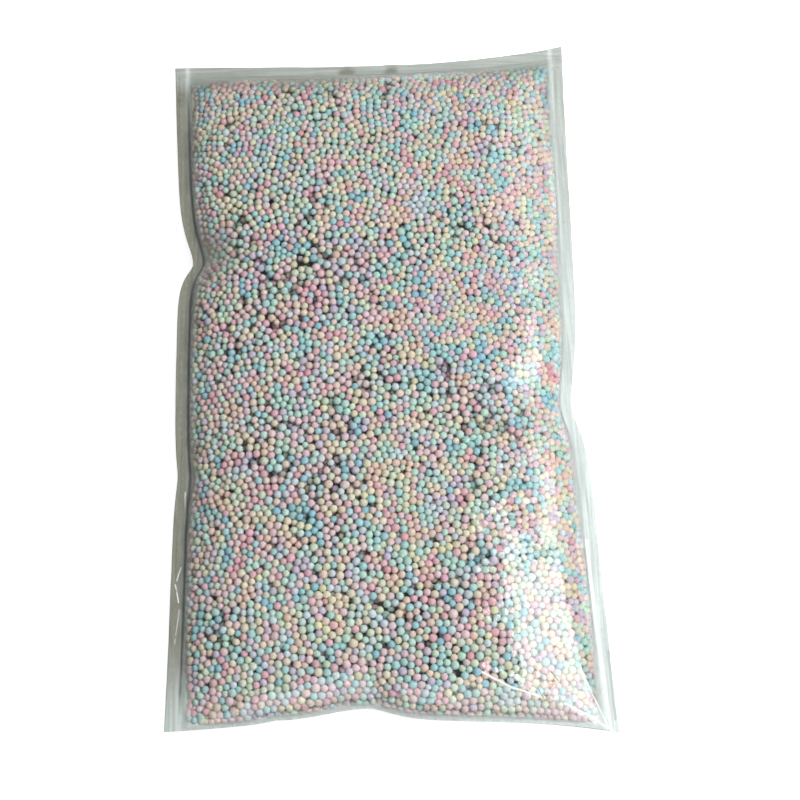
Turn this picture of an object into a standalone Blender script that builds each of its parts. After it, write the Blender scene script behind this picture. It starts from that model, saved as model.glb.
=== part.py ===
"""A clear film bag filled with coloured foam beads, lying flat on its underside.

The bag is one folded sheet of film: a plain fold at the lower end, a narrow heat-sealed
seam down each side and a taller heat-sealed band across the upper end. Two short puckers
run through that band, where the film did not fuse. The loose beads fill the bag as one mass.

Axes: X across the bag, Y along it towards the sealed end, Z up.
The origin is at the middle of the underside. Units are metres.
"""

import math
import random
from dataclasses import dataclass

import bmesh
import bpy
from mathutils import Vector
from mathutils.bvhtree import BVHTree

MM = 0.001

# The bag as it lies, filled: the flat outline and the heights
BAG_WIDTH = 156.0 * MM
BAG_LENGTH = 281.8 * MM
FILM = 0.08 * MM
SEAM_HEIGHT = 9.0 * MM
CORNER_DROOP = 2.0 * MM
TOP_RISE = 19.0 * MM
UNDERSIDE_DROP = 15.0 * MM

# Heat seals and the fold
SIDE_SEAM = 4.5 * MM
TOP_SEAL = 5.0 * MM
FOLD = 0.6 * MM

# How the straight edges of the sheet are drawn out at its corners
SIDE_FLARE = 2.4 * MM
SIDE_FLARE_POWER = 2.5
TOP_EDGE_SAG = 3.0 * MM
RIGHT_CORNER_STRETCH = 5.2 * MM
STRETCH_POWER = 3
DROOP_POWER = 4

# How the film rises from its seams: how far in along the bag, and how squarely
END_TAPER = 70.0 * MM
BULGE_ACROSS = 2.8
BULGE_ALONG = 2.6
BULGE_ROUND = 0.62

# Puckers through the upper seal
PUCKER_PLACES = (-9.2 * MM, 8.9 * MM)
PUCKER_WIDTH = 6.0 * MM
PUCKER_HEIGHT = 0.9 * MM
PUCKER_WALL = 0.12 * MM
PUCKER_REACH = 2.0 * MM
PUCKER_SIDES = 8

# The bead mass
BEAD_CLEARANCE = 0.4 * MM
BEAD_EDGE = 3.2 * MM
PEBBLE_SPACING = 3.6 * MM
PEBBLE_RELIEF = 2.7 * MM
PEBBLE_JITTER = 0.27
CROWN_DROP = 0.4 * MM
SHALLOWEST_GAP = 0.7
RELIEF_SHARE = 0.36
PEBBLE_SEED = 11
UNDER_ROWS = 2
UNDER_STEP = 12.0 * MM

# Spacing of the film's facets
FILM_CELL_ACROSS = 7.6 * MM
FILM_CELL_ALONG = 8.9 * MM
END_CROWDING = 0.65
MERGE_DISTANCE = 0.01 * MM


@dataclass(frozen=True)
class Pinch:
    """A place where a free edge is drawn in and a gather runs from it into the bag."""

    place: float
    depth: float
    spread_before: float
    spread_after: float
    gather_reach: float
    gather_depth: float

    def pull(self, where):
        """Returns how far the edge is drawn in at one distance along it."""
        offset = where - self.place
        spread = self.spread_after if offset > 0.0 else self.spread_before
        return self.depth / (1.0 + (offset / spread) ** 2)


LEFT_PINCHES = (
    Pinch(47.0 * MM, 6.4 * MM, 6.5 * MM, 14.0 * MM, 26.0 * MM, 2.6 * MM),
    Pinch(-44.0 * MM, 1.5 * MM, 10.0 * MM, 9.0 * MM, 14.0 * MM, 1.0 * MM),
)
RIGHT_PINCHES = (
    Pinch(-19.0 * MM, 5.6 * MM, 12.0 * MM, 21.0 * MM, 22.0 * MM, 2.2 * MM),
)
FOLD_PINCHES = (
    Pinch(-8.5 * MM, 6.2 * MM, 24.0 * MM, 12.0 * MM, 30.0 * MM, 2.8 * MM),
    Pinch(-40.0 * MM, 0.8 * MM, 4.0 * MM, 4.0 * MM, 10.0 * MM, 0.8 * MM),
)
GATHER_HALF_WIDTH = 7.0 * MM
GATHER_ONSET = 2.0
EDGE_INFLUENCE = 4


def clear_scene():
    """Removes every object that is in the file."""
    for item in list(bpy.data.objects):
        bpy.data.objects.remove(item, do_unlink=True)


def make_collection(name):
    """Returns a new collection linked to the scene."""
    collection = bpy.data.collections.new(name)
    bpy.context.scene.collection.children.link(collection)
    return collection


def make_material(name, colour, roughness, metallic=0.0, alpha=1.0):
    """Returns a Principled material."""
    material = bpy.data.materials.new(name)
    material.use_nodes = True
    shader = material.node_tree.nodes["Principled BSDF"]
    shader.inputs["Base Color"].default_value = (*colour, 1.0)
    shader.inputs["Roughness"].default_value = roughness
    shader.inputs["Metallic"].default_value = metallic
    shader.inputs["Alpha"].default_value = alpha
    return material


def make_object(name, mesh_builder, collection, material=None, smooth=True):
    """Writes a bmesh into a new object of the collection and frees it."""
    mesh = bpy.data.meshes.new(name)
    mesh_builder.to_mesh(mesh)
    mesh_builder.free()
    item = bpy.data.objects.new(name, mesh)
    collection.objects.link(item)
    if material is not None:
        mesh.materials.append(material)
    if smooth:
        mesh.shade_smooth()
    return item


def boolean(target, cutter, operation):
    """Adds an exact Boolean modifier to the target."""
    modifier = target.modifiers.new(f"{operation.lower()} {cutter.name}", "BOOLEAN")
    modifier.operation = operation
    modifier.solver = "EXACT"
    modifier.object = cutter
    cutter.hide_render = True
    cutter.display_type = "WIRE"


def side_edge(along, pinches):
    """Returns a side edge's distance from the bag's centre line, at one place along the bag."""
    flare = SIDE_FLARE * abs(2.0 * along / BAG_LENGTH) ** SIDE_FLARE_POWER
    pulled = sum(pinch.pull(along) for pinch in pinches)
    return BAG_WIDTH / 2.0 + flare - pulled


def stretch(across):
    """Returns how far the right-hand corners are drawn out along the bag."""
    return RIGHT_CORNER_STRETCH * max(0.0, 2.0 * across / BAG_WIDTH) ** STRETCH_POWER


def top_edge(across):
    """Returns the sealed edge's place along the bag, at one place across it."""
    sag = TOP_EDGE_SAG * (1.0 - (2.0 * across / BAG_WIDTH) ** 2)
    return BAG_LENGTH / 2.0 - sag + stretch(across)


def fold_edge(across):
    """Returns the folded edge's place along the bag, at one place across it."""
    pulled = sum(pinch.pull(across) for pinch in FOLD_PINCHES)
    return -BAG_LENGTH / 2.0 - stretch(across) + pulled


def bulge(inward, reach, squareness):
    """Returns how far the film has risen at a distance in from the seam: 0 on it, 1 from reach on."""
    remaining = 1.0 - min(max(inward / reach, 0.0), 1.0)
    return (1.0 - remaining ** squareness) ** BULGE_ROUND


def gathers(across, along, inward_left, inward_right, inward_fold):
    """Returns the depth of the gathers that run in from the pinches."""
    depth = 0.0
    edges = (
        (LEFT_PINCHES, along, inward_left),
        (RIGHT_PINCHES, along, inward_right),
        (FOLD_PINCHES, across, inward_fold),
    )
    for pinches, where, inward in edges:
        for pinch in pinches:
            width = GATHER_HALF_WIDTH * (1.0 + inward / pinch.gather_reach)
            spread = math.exp(-((where - pinch.place) / width) ** 2)
            fade = math.exp(-((inward / pinch.gather_reach) ** 2))
            depth += pinch.gather_depth * spread * fade
    return depth


def seam_level(along, across):
    """Returns the height of the seams, which droop towards the corners."""
    end = abs(2.0 * along / BAG_LENGTH)
    side = abs(2.0 * across / BAG_WIDTH)
    return SEAM_HEIGHT - CORNER_DROOP * min(1.0, (end * side) ** DROOP_POWER)


def film_point(across, along, side):
    """Returns a point of the film's outer skin.

    Args:
        across: place across the flat sheet, from 0 at its left edge to BAG_WIDTH.
        along: place along the flat sheet, from 0 at the fold to BAG_LENGTH.
        side: 1 for the upper skin, -1 for the underside.
    """
    share_x = across / BAG_WIDTH
    share_y = along / BAG_LENGTH
    flat_x = across - BAG_WIDTH / 2.0
    flat_y = along - BAG_LENGTH / 2.0
    left_pull = (BAG_WIDTH / 2.0 - side_edge(flat_y, LEFT_PINCHES)) * (1.0 - share_x) ** EDGE_INFLUENCE
    right_pull = (BAG_WIDTH / 2.0 - side_edge(flat_y, RIGHT_PINCHES)) * share_x ** EDGE_INFLUENCE
    x = flat_x + left_pull - right_pull
    fold_pull = (fold_edge(flat_x) + BAG_LENGTH / 2.0) * (1.0 - share_y) ** EDGE_INFLUENCE
    top_pull = (top_edge(flat_x) - BAG_LENGTH / 2.0) * share_y ** EDGE_INFLUENCE
    y = flat_y + fold_pull + top_pull

    from_side = min(across, BAG_WIDTH - across) - SIDE_SEAM
    from_end = min(along - FOLD, BAG_LENGTH - TOP_SEAL - along)
    half_inside = BAG_WIDTH / 2.0 - SIDE_SEAM
    swell = bulge(from_side, half_inside, BULGE_ACROSS) * bulge(from_end, END_TAPER, BULGE_ALONG)
    level = seam_level(flat_y, flat_x)
    if side < 0:
        lowered = level - FILM - UNDERSIDE_DROP * swell
        return Vector((x, y, max(0.0, lowered)))
    dent = gathers(flat_x, flat_y, across - SIDE_SEAM, BAG_WIDTH - SIDE_SEAM - across, along - FOLD)
    raised = max(0.0, TOP_RISE * swell - dent * min(1.0, GATHER_ONSET * swell))
    return Vector((x, y, level + FILM + raised))


def stations(length, first_margin, last_margin, cell):
    """Returns the places of the facet lines along one side of the sheet.

    Both edges and both seam lines are among them, and the cells between crowd towards the seams.
    """
    inside = length - first_margin - last_margin
    count = max(6, round(inside / cell))
    places = [0.0]
    for index in range(count + 1):
        even = index / count
        crowded = 0.5 - 0.5 * math.cos(math.pi * even)
        share = even + END_CROWDING * (crowded - even)
        places.append(first_margin + inside * share)
    places.append(length)
    return places


def two_sided_sheet(columns, rows):
    """Returns a closed sheet of two faces as a bmesh, with each vertex's column, row and side.

    A grid is extruded once, and its walls are the cut edges of the film.
    """
    builder = bmesh.new()
    bmesh.ops.create_grid(builder, x_segments=columns - 1, y_segments=rows - 1, size=1.0)
    grown = bmesh.ops.extrude_face_region(builder, geom=builder.faces[:], use_keep_orig=True)
    upper = {item for item in grown["geom"] if isinstance(item, bmesh.types.BMVert)}
    places = {}
    for vertex in builder.verts:
        column = round((vertex.co.x + 1.0) / 2.0 * (columns - 1))
        row = round((vertex.co.y + 1.0) / 2.0 * (rows - 1))
        places[vertex] = (column, row, 1 if vertex in upper else -1)
    return builder, places


def film_sheet():
    """Returns the outside of the bag as a closed bmesh of quads, with no hollow in it.

    The second value gives each vertex's column, row and side, the third the column and the row
    on which the far seams run. The near seams run on column and row 1.
    """
    across = stations(BAG_WIDTH, SIDE_SEAM, SIDE_SEAM, FILM_CELL_ACROSS)
    along = stations(BAG_LENGTH, FOLD, TOP_SEAL, FILM_CELL_ALONG)
    builder, places = two_sided_sheet(len(across), len(along))
    for vertex, (column, row, side) in places.items():
        vertex.co = film_point(across[column], along[row], side)
    bmesh.ops.recalc_face_normals(builder, faces=builder.faces[:])
    builder.normal_update()
    return builder, places, (len(across) - 2, len(along) - 2)


def finish_solid(builder):
    """Cuts a closed bmesh into triangles that face outwards."""
    bmesh.ops.triangulate(builder, faces=builder.faces[:], quad_method="SHORT_EDGE")
    bmesh.ops.recalc_face_normals(builder, faces=builder.faces[:])
    return builder


def film_skin():
    """Returns the outside of the bag as a closed bmesh of triangles."""
    builder, _, _ = film_sheet()
    return finish_solid(builder)


def film_cavity():
    """Returns the hollow of the bag: the skin between the seams, one film thickness further in."""
    builder, places, (last_column, last_row) = film_sheet()
    inner = {}
    for vertex, (column, row, side) in places.items():
        on_seam = column in (1, last_column) or row in (1, last_row)
        inward = Vector((0.0, 0.0, -side)) if on_seam else -vertex.normal
        inner[vertex] = vertex.co + inward * FILM
    sealed_faces = []
    for face in builder.faces:
        spots = [places[vertex] for vertex in face.verts]
        if any(c < 1 or c > last_column or r < 1 or r > last_row for c, r, _ in spots):
            sealed_faces.append(face)
    for vertex, place in inner.items():
        vertex.co = place
    bmesh.ops.delete(builder, geom=sealed_faces, context="FACES")
    bmesh.ops.remove_doubles(builder, verts=builder.verts[:], dist=FILM / 4.0)
    return finish_solid(builder)


def pucker(place, inset):
    """Returns one pucker of the upper seal as a flattened tube along Y.

    Args:
        place: where it lies across the bag.
        inset: wall to take off all round. A channel, which has one, also runs out past the edge.
    """
    builder = bmesh.new()
    outer_end = top_edge(place) + 2.0 * inset
    length = TOP_SEAL + PUCKER_REACH + 2.0 * inset
    bmesh.ops.create_cone(
        builder, cap_ends=True, segments=PUCKER_SIDES, radius1=0.5, radius2=0.5, depth=1.0
    )
    width = PUCKER_WIDTH - 4.0 * inset
    height = PUCKER_HEIGHT - 2.0 * inset
    level = seam_level(BAG_LENGTH / 2.0, place)
    for vertex in builder.verts:
        sideways, upwards, lengthways = vertex.co
        y = outer_end - length * (0.5 - lengthways)
        vertex.co = Vector((place + sideways * width, y, level + upwards * height))
    bmesh.ops.recalc_face_normals(builder, faces=builder.faces[:])
    return builder


def make_film_bag(part, cutters):
    """Builds the bag of film, open only through the puckers of its upper seal."""
    film = make_material("clear film", (0.80, 0.85, 0.84), 0.12, alpha=0.35)
    bag = make_object("film_bag", film_skin(), part, film)
    for number, place in enumerate(PUCKER_PLACES, start=1):
        tube = make_object(f"pucker_outside_{number}", pucker(place, 0.0), cutters)
        boolean(bag, tube, "UNION")
    hollow = make_object("bag_hollow", film_cavity(), cutters)
    boolean(bag, hollow, "DIFFERENCE")
    for number, place in enumerate(PUCKER_PLACES, start=1):
        channel = make_object(f"pucker_channel_{number}", pucker(place, PUCKER_WALL), cutters)
        boolean(bag, channel, "DIFFERENCE")
    return bag, hollow


def lattice_point(column, row, columns, rows, rng):
    """Returns the place on the flat sheet of one point of the pebble lattice.

    Points inside the border are jittered.
    """
    first_x = SIDE_SEAM + BEAD_EDGE
    first_y = FOLD + BEAD_EDGE
    width = BAG_WIDTH - 2.0 * first_x
    length = BAG_LENGTH - first_y - TOP_SEAL - BEAD_EDGE
    step_x = width / (columns - 1)
    step_y = length / (rows - 1)
    x = first_x + step_x * column
    y = first_y + step_y * row
    if 0 < column < columns - 1:
        x += step_x * PEBBLE_JITTER * rng.uniform(-1.0, 1.0)
    if 0 < row < rows - 1:
        y += step_y * PEBBLE_JITTER * rng.uniform(-1.0, 1.0)
    return x, y


def is_crown(column, row):
    """Tells whether a lattice point is a pebble's crown: every other one is, with four gaps round it."""
    return (column + row) % 2 == 0


def make_bead_fill(part, hollow):
    """Builds the bead mass, which keeps a clearance to the film all round."""
    rng = random.Random(PEBBLE_SEED)
    foam = make_material("foam beads", (0.80, 0.74, 0.68), 0.85)
    film_inside = BVHTree.FromObject(hollow, bpy.context.evaluated_depsgraph_get())
    columns = round((BAG_WIDTH - 2.0 * SIDE_SEAM) / PEBBLE_SPACING)
    rows = round((BAG_LENGTH - TOP_SEAL) / PEBBLE_SPACING)

    builder = bmesh.new()
    bmesh.ops.create_grid(builder, x_segments=columns - 1, y_segments=rows - 1, size=1.0)
    spots = {}
    for vertex in builder.verts:
        column = round((vertex.co.x + 1.0) / 2.0 * (columns - 1))
        row = round((vertex.co.y + 1.0) / 2.0 * (rows - 1))
        spots[vertex] = (column, row)
    for vertex, (column, row) in sorted(spots.items(), key=lambda item: item[1]):
        across, along = lattice_point(column, row, columns, rows, rng)
        upper = film_point(across, along, 1)
        lower = film_point(across, along, -1)
        depth = BEAD_CLEARANCE
        relief = min(PEBBLE_RELIEF, RELIEF_SHARE * (upper.z - lower.z))
        if is_crown(column, row):
            depth += CROWN_DROP * relief / PEBBLE_RELIEF * rng.uniform(0.0, 1.0)
        else:
            depth += relief * rng.uniform(SHALLOWEST_GAP, 1.0)
        vertex.co = beneath_film(film_inside, upper, depth)
    for face in builder.faces[:]:
        gap_points = [vertex for vertex in face.verts if not is_crown(*spots[vertex])]
        bmesh.utils.face_split(face, *gap_points)
    close_underside(builder, film_inside)
    bmesh.ops.remove_doubles(builder, verts=builder.verts[:], dist=MERGE_DISTANCE)
    bmesh.ops.recalc_face_normals(builder, faces=builder.faces[:])
    return make_object("bead_fill", builder, part, foam, smooth=False)


def beneath_film(film_inside, point, depth):
    """Returns the point that lies at a depth under the film's inner face, next to a given point."""
    on_film, normal, _, _ = film_inside.find_nearest(point)
    return on_film - normal * depth


def close_underside(builder, film_inside):
    """Carries the border of the bead mass down and inwards, and closes it with one flat face."""
    ring = [edge for edge in builder.edges if edge.is_boundary]
    first_x = SIDE_SEAM + BEAD_EDGE
    first_y = FOLD + BEAD_EDGE
    last_x = BAG_WIDTH - first_x
    last_y = BAG_LENGTH - TOP_SEAL - BEAD_EDGE
    sheet = {}
    for vertex in {end for edge in ring for end in edge.verts}:
        x = vertex.co.x + BAG_WIDTH / 2.0
        y = vertex.co.y + BAG_LENGTH / 2.0
        sheet[vertex] = (min(max(x, first_x), last_x), min(max(y, first_y), last_y))
    for step in range(UNDER_ROWS + 1):
        grown = bmesh.ops.extrude_edge_only(builder, edges=ring)
        new_edges = [item for item in grown["geom"] if isinstance(item, bmesh.types.BMEdge)]
        new_vertices = {item for item in grown["geom"] if isinstance(item, bmesh.types.BMVert)}
        inset = UNDER_STEP * step
        placed = {}
        for vertex in new_vertices:
            parent = next(
                edge.other_vert(vertex) for edge in vertex.link_edges
                if edge.other_vert(vertex) in sheet
            )
            x, y = sheet[parent]
            x = min(max(x, first_x + inset), last_x - inset)
            y = min(max(y, first_y + inset), last_y - inset)
            vertex.co = beneath_film(film_inside, film_point(x, y, -1), BEAD_CLEARANCE)
            placed[vertex] = (x, y)
        sheet = placed
        ring = [edge for edge in new_edges if all(end in new_vertices for end in edge.verts)]
    bmesh.ops.contextual_create(builder, geom=ring)


def main():
    """Builds the whole part."""
    clear_scene()
    part = make_collection("bag_of_beads")
    cutters = make_collection("cutters")
    _, hollow = make_film_bag(part, cutters)
    bpy.context.view_layer.update()
    make_bead_fill(part, hollow)


main()
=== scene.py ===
"""Looks of a clear film bag packed full with loose pastel foam beads, lying on its underside.

The film is one closed skin with a real wall: two skins that are welded at the side seams and
the upper seal, folded at the lower end, and open only at two puckers in the seal. The beads are
packed against the inside of that film by pushing overlapping beads apart until they fit.

Axes: X across the bag, Y along it towards the sealed end, Z up. Units are metres.
"""

import itertools
import logging
import math
from dataclasses import dataclass, field
from enum import Enum
from typing import Any

import bpy
import numpy as np
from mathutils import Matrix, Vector
from mathutils.bvhtree import BVHTree


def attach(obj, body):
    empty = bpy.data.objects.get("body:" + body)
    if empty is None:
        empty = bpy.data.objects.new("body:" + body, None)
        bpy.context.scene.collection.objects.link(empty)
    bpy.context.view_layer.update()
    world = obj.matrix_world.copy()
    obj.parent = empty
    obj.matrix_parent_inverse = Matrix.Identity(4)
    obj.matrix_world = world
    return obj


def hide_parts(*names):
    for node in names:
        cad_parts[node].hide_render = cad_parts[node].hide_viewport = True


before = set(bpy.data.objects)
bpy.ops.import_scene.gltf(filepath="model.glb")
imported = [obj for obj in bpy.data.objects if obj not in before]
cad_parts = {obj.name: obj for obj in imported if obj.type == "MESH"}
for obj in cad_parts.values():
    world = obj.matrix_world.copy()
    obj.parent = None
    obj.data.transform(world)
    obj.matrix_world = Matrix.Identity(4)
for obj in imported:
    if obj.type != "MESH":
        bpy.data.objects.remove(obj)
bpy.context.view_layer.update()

MM = 0.001
BODY = "root"

logging.basicConfig(level=logging.INFO, format="%(name)s: %(message)s")
log = logging.getLogger("bag_of_beads")


def linear(code: str) -> tuple[float, float, float, float]:
    """Turns an sRGB hex colour into a linear one.

    Args:
        code: six hex digits, with or without a leading hash.

    Returns:
        Red, green, blue and an alpha of one.
    """
    digits = code.lstrip("#")
    channels = []
    for start in (0, 2, 4):
        value = int(digits[start:start + 2], 16) / 255.0
        channels.append(value / 12.92 if value <= 0.04045 else ((value + 0.055) / 1.055) ** 2.4)
    return channels[0], channels[1], channels[2], 1.0


def add_node(tree: bpy.types.NodeTree, kind: str, inputs: dict | None = None,
             **settings: Any) -> bpy.types.Node:
    """Adds a node with its settings, and sets or links its inputs.

    Args:
        tree: the node tree that takes the node.
        kind: the node's type name.
        inputs: a value or another node's output socket for each input, by name or number.
        **settings: the node's own properties.

    Returns:
        The new node.
    """
    node = tree.nodes.new(kind)
    for name, value in settings.items():
        setattr(node, name, value)
    for key, value in (inputs or {}).items():
        if isinstance(value, bpy.types.NodeSocket):
            tree.links.new(value, node.inputs[key])
        else:
            node.inputs[key].default_value = value
    return node


def new_material(name: str) -> tuple[bpy.types.Material, bpy.types.NodeTree]:
    """Returns a material with an empty node tree, and that tree."""
    material = bpy.data.materials.new(name)
    material.use_nodes = True
    material.node_tree.nodes.clear()
    return material, material.node_tree


def smooth_step(value: np.ndarray, low: float, high: float) -> np.ndarray:
    """Returns 0 below low, 1 above high and a smooth rise between."""
    share = np.clip((value - low) / (high - low), 0.0, 1.0)
    return share * share * (3.0 - 2.0 * share)


def unit(vectors: np.ndarray) -> np.ndarray:
    """Returns the vectors at length one."""
    return vectors / np.maximum(np.linalg.norm(vectors, axis=-1, keepdims=True), 1e-12)


def make_piece(name: str, points: np.ndarray, faces: list,
               material: bpy.types.Material) -> bpy.types.Object:
    """Makes a smooth mesh object at the origin.

    Args:
        name: the object's name.
        points: its vertices, in the row frame.
        faces: a list of vertex numbers for each face.
        material: the finish of the whole mesh.

    Returns:
        The new object, linked to the scene.
    """
    mesh = bpy.data.meshes.new(name)
    mesh.from_pydata(points.tolist(), [], faces)
    mesh.materials.append(material)
    mesh.shade_smooth()
    mesh.update()
    piece = bpy.data.objects.new(name, mesh)
    bpy.context.scene.collection.objects.link(piece)
    return piece


def count_triangles(mesh: bpy.types.Mesh) -> int:
    """Returns how many triangles a mesh has."""
    return len(mesh.loops) - 2 * len(mesh.polygons)


def store(mesh: bpy.types.Mesh, name: str, values: np.ndarray) -> None:
    """Stores a number or a colour for every vertex, under the name that a node tree reads."""
    kind, key = ("FLOAT_COLOR", "color") if values.ndim > 1 else ("FLOAT", "value")
    attribute = mesh.attributes.new(name, kind, "POINT")
    attribute.data.foreach_set(key, values.astype(np.float32).ravel())


def new_node_group(name: str, inputs: tuple[tuple[str, str], ...]) -> bpy.types.NodeTree:
    """Makes a geometry node tree that takes and gives a geometry.

    Args:
        name: the tree's name.
        inputs: the name and the kind of each further input.

    Returns:
        The tree, with its sockets but no node.
    """
    tree = bpy.data.node_groups.new(name, "GeometryNodeTree")
    for direction in ("INPUT", "OUTPUT"):
        tree.interface.new_socket(name="Geometry", in_out=direction, socket_type="NodeSocketGeometry")
    for label, kind in inputs:
        tree.interface.new_socket(name=label, in_out="INPUT", socket_type=f"NodeSocket{kind}")
    return tree


def end_node_group(tree: bpy.types.NodeTree, placed: bpy.types.NodeSocket,
                   finish: bpy.types.NodeSocket) -> None:
    """Ends a geometry node tree: what it has placed is made real, smooth and dressed.

    Args:
        tree: the tree.
        placed: the instances.
        finish: their material.
    """
    real = add_node(tree, "GeometryNodeRealizeInstances", {0: placed})
    smooth = add_node(tree, "GeometryNodeSetShadeSmooth", {0: real.outputs[0]})
    dressed = add_node(tree, "GeometryNodeSetMaterial", {0: smooth.outputs[0], "Material": finish})
    add_node(tree, "NodeGroupOutput", {0: dressed.outputs[0]})


def grow_piece(name: str, start: bpy.types.Mesh, tree: bpy.types.NodeTree,
               values: dict[str, Any]) -> bpy.types.Object:
    """Runs a geometry node tree and keeps what it makes as a plain mesh object at the origin.

    Args:
        name: the new piece's name.
        start: the points or lines that the tree begins with.
        tree: the tree.
        values: its inputs by name, with the piece's material as Finish.

    Returns:
        The new piece, linked to the scene.
    """
    holder = bpy.data.objects.new(f"{name}_start", start)
    bpy.context.scene.collection.objects.link(holder)
    modifier = holder.modifiers.new("nodes", "NODES")
    modifier.node_group = tree
    for item in tree.interface.items_tree:
        if item.item_type == "SOCKET" and item.in_out == "INPUT" and item.name in values:
            modifier[item.identifier] = values[item.name]
    graph = bpy.context.evaluated_depsgraph_get()
    mesh = bpy.data.meshes.new_from_object(holder.evaluated_get(graph))
    mesh.name = name
    if not mesh.materials:
        mesh.materials.append(values["Finish"])
    bpy.data.objects.remove(holder, do_unlink=True)
    piece = bpy.data.objects.new(name, mesh)
    bpy.context.scene.collection.objects.link(piece)
    return piece


class Skin(Enum):
    """The two skins of the folded sheet of film."""

    UPPER = 1
    LOWER = -1


@dataclass(frozen=True)
class Pinch:
    """A place where a free edge is drawn in and a gather runs from it into the bag."""

    place: float
    depth: float
    spread_before: float
    spread_after: float
    gather_reach: float
    gather_depth: float

    def pull(self, where: np.ndarray) -> np.ndarray:
        """Returns how far the edge is drawn in at distances along it."""
        offset = where - self.place
        spread = np.where(offset > 0.0, self.spread_after, self.spread_before)
        return self.depth / (1.0 + (offset / spread) ** 2)


@dataclass(frozen=True)
class BagForm:
    """The form of the filled bag, worked out for whole arrays.

    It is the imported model's form, with a shallower gather at the fold.
    """

    width: float = 156.0 * MM
    length: float = 281.8 * MM
    film: float = 0.08 * MM
    seam_height: float = 9.0 * MM
    corner_droop: float = 2.0 * MM
    top_rise: float = 19.0 * MM
    underside_drop: float = 15.0 * MM
    side_seam: float = 4.5 * MM
    top_seal: float = 5.0 * MM
    fold: float = 0.6 * MM
    side_flare: float = 2.4 * MM
    side_flare_power: float = 2.5
    top_edge_sag: float = 3.0 * MM
    corner_stretch: float = 5.2 * MM
    stretch_power: int = 3
    droop_power: int = 4
    end_taper: float = 70.0 * MM
    bulge_across: float = 2.8
    bulge_along: float = 2.6
    bulge_round: float = 0.62
    gather_half_width: float = 7.0 * MM
    gather_onset: float = 2.0
    edge_influence: int = 4
    top_gap: float = 2.4 * MM
    top_gap_wander: float = 0.5 * MM
    top_dip: float = 5.0 * MM
    top_dip_place: float = -30.0 * MM
    top_dip_width: float = 9.0 * MM
    left_pinches: tuple[Pinch, ...] = (
        Pinch(47.0 * MM, 6.4 * MM, 6.5 * MM, 14.0 * MM, 26.0 * MM, 2.6 * MM),
        Pinch(-44.0 * MM, 1.5 * MM, 10.0 * MM, 9.0 * MM, 14.0 * MM, 1.0 * MM),
    )
    right_pinches: tuple[Pinch, ...] = (
        Pinch(-19.0 * MM, 5.6 * MM, 12.0 * MM, 21.0 * MM, 22.0 * MM, 2.2 * MM),
    )
    fold_pinches: tuple[Pinch, ...] = (
        Pinch(-8.5 * MM, 6.2 * MM, 24.0 * MM, 12.0 * MM, 30.0 * MM, 1.9 * MM),
        Pinch(-40.0 * MM, 0.8 * MM, 4.0 * MM, 4.0 * MM, 10.0 * MM, 0.8 * MM),
    )
    tangent_step: float = 0.02 * MM

    def side_edge(self, along: np.ndarray, pinches: tuple[Pinch, ...]) -> np.ndarray:
        """Returns a side edge's distance from the centre line, at places along the bag."""
        flare = self.side_flare * np.abs(2.0 * along / self.length) ** self.side_flare_power
        return self.width / 2.0 + flare - sum(pinch.pull(along) for pinch in pinches)

    def stretch(self, across: np.ndarray) -> np.ndarray:
        """Returns how far the right-hand corners are drawn out along the bag."""
        return self.corner_stretch * np.maximum(0.0, 2.0 * across / self.width) ** self.stretch_power

    def top_edge(self, across: np.ndarray) -> np.ndarray:
        """Returns the sealed edge's place along the bag, at places across it."""
        sag = self.top_edge_sag * (1.0 - (2.0 * across / self.width) ** 2)
        return self.length / 2.0 - sag + self.stretch(across)

    def fold_edge(self, across: np.ndarray) -> np.ndarray:
        """Returns the folded edge's place along the bag, at places across it."""
        pulled = sum(pinch.pull(across) for pinch in self.fold_pinches)
        return -self.length / 2.0 - self.stretch(across) + pulled

    def bulge(self, inward: np.ndarray, reach: float, squareness: float) -> np.ndarray:
        """Returns how far the film has risen at distances in from the seam: 1 from reach on."""
        remaining = 1.0 - np.clip(inward / reach, 0.0, 1.0)
        return (1.0 - remaining ** squareness) ** self.bulge_round

    def gathers(self, across: np.ndarray, along: np.ndarray, left: np.ndarray,
                right: np.ndarray, lower: np.ndarray) -> np.ndarray:
        """Returns the depth of the gathers that run in from the pinches.

        Args:
            across: places across the bag from its centre line.
            along: places along the bag from its middle.
            left: distances in from the left seam.
            right: distances in from the right seam.
            lower: distances in from the fold.

        Returns:
            Depths below the full form.
        """
        depth = np.zeros_like(across)
        edges = (
            (self.left_pinches, along, left),
            (self.right_pinches, along, right),
            (self.fold_pinches, across, lower),
        )
        for pinches, where, inward in edges:
            for pinch in pinches:
                width = self.gather_half_width * (1.0 + inward / pinch.gather_reach)
                spread = np.exp(-((where - pinch.place) / width) ** 2)
                depth = depth + pinch.gather_depth * spread * np.exp(-((inward / pinch.gather_reach) ** 2))
        return depth

    def seam_level(self, along: np.ndarray, across: np.ndarray) -> np.ndarray:
        """Returns the height of the seams, which droop towards the corners."""
        corner = np.abs(2.0 * along / self.length) * np.abs(2.0 * across / self.width)
        return self.seam_height - self.corner_droop * np.minimum(1.0, corner ** self.droop_power)

    def inward(self, across: np.ndarray, along: np.ndarray) -> tuple[np.ndarray, np.ndarray]:
        """Returns the distances in from the nearer side seam and from the nearer end seam."""
        from_side = np.minimum(across, self.width - across) - self.side_seam
        from_end = np.minimum(along - self.fold, self.length - self.top_seal - along)
        return from_side, from_end

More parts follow.
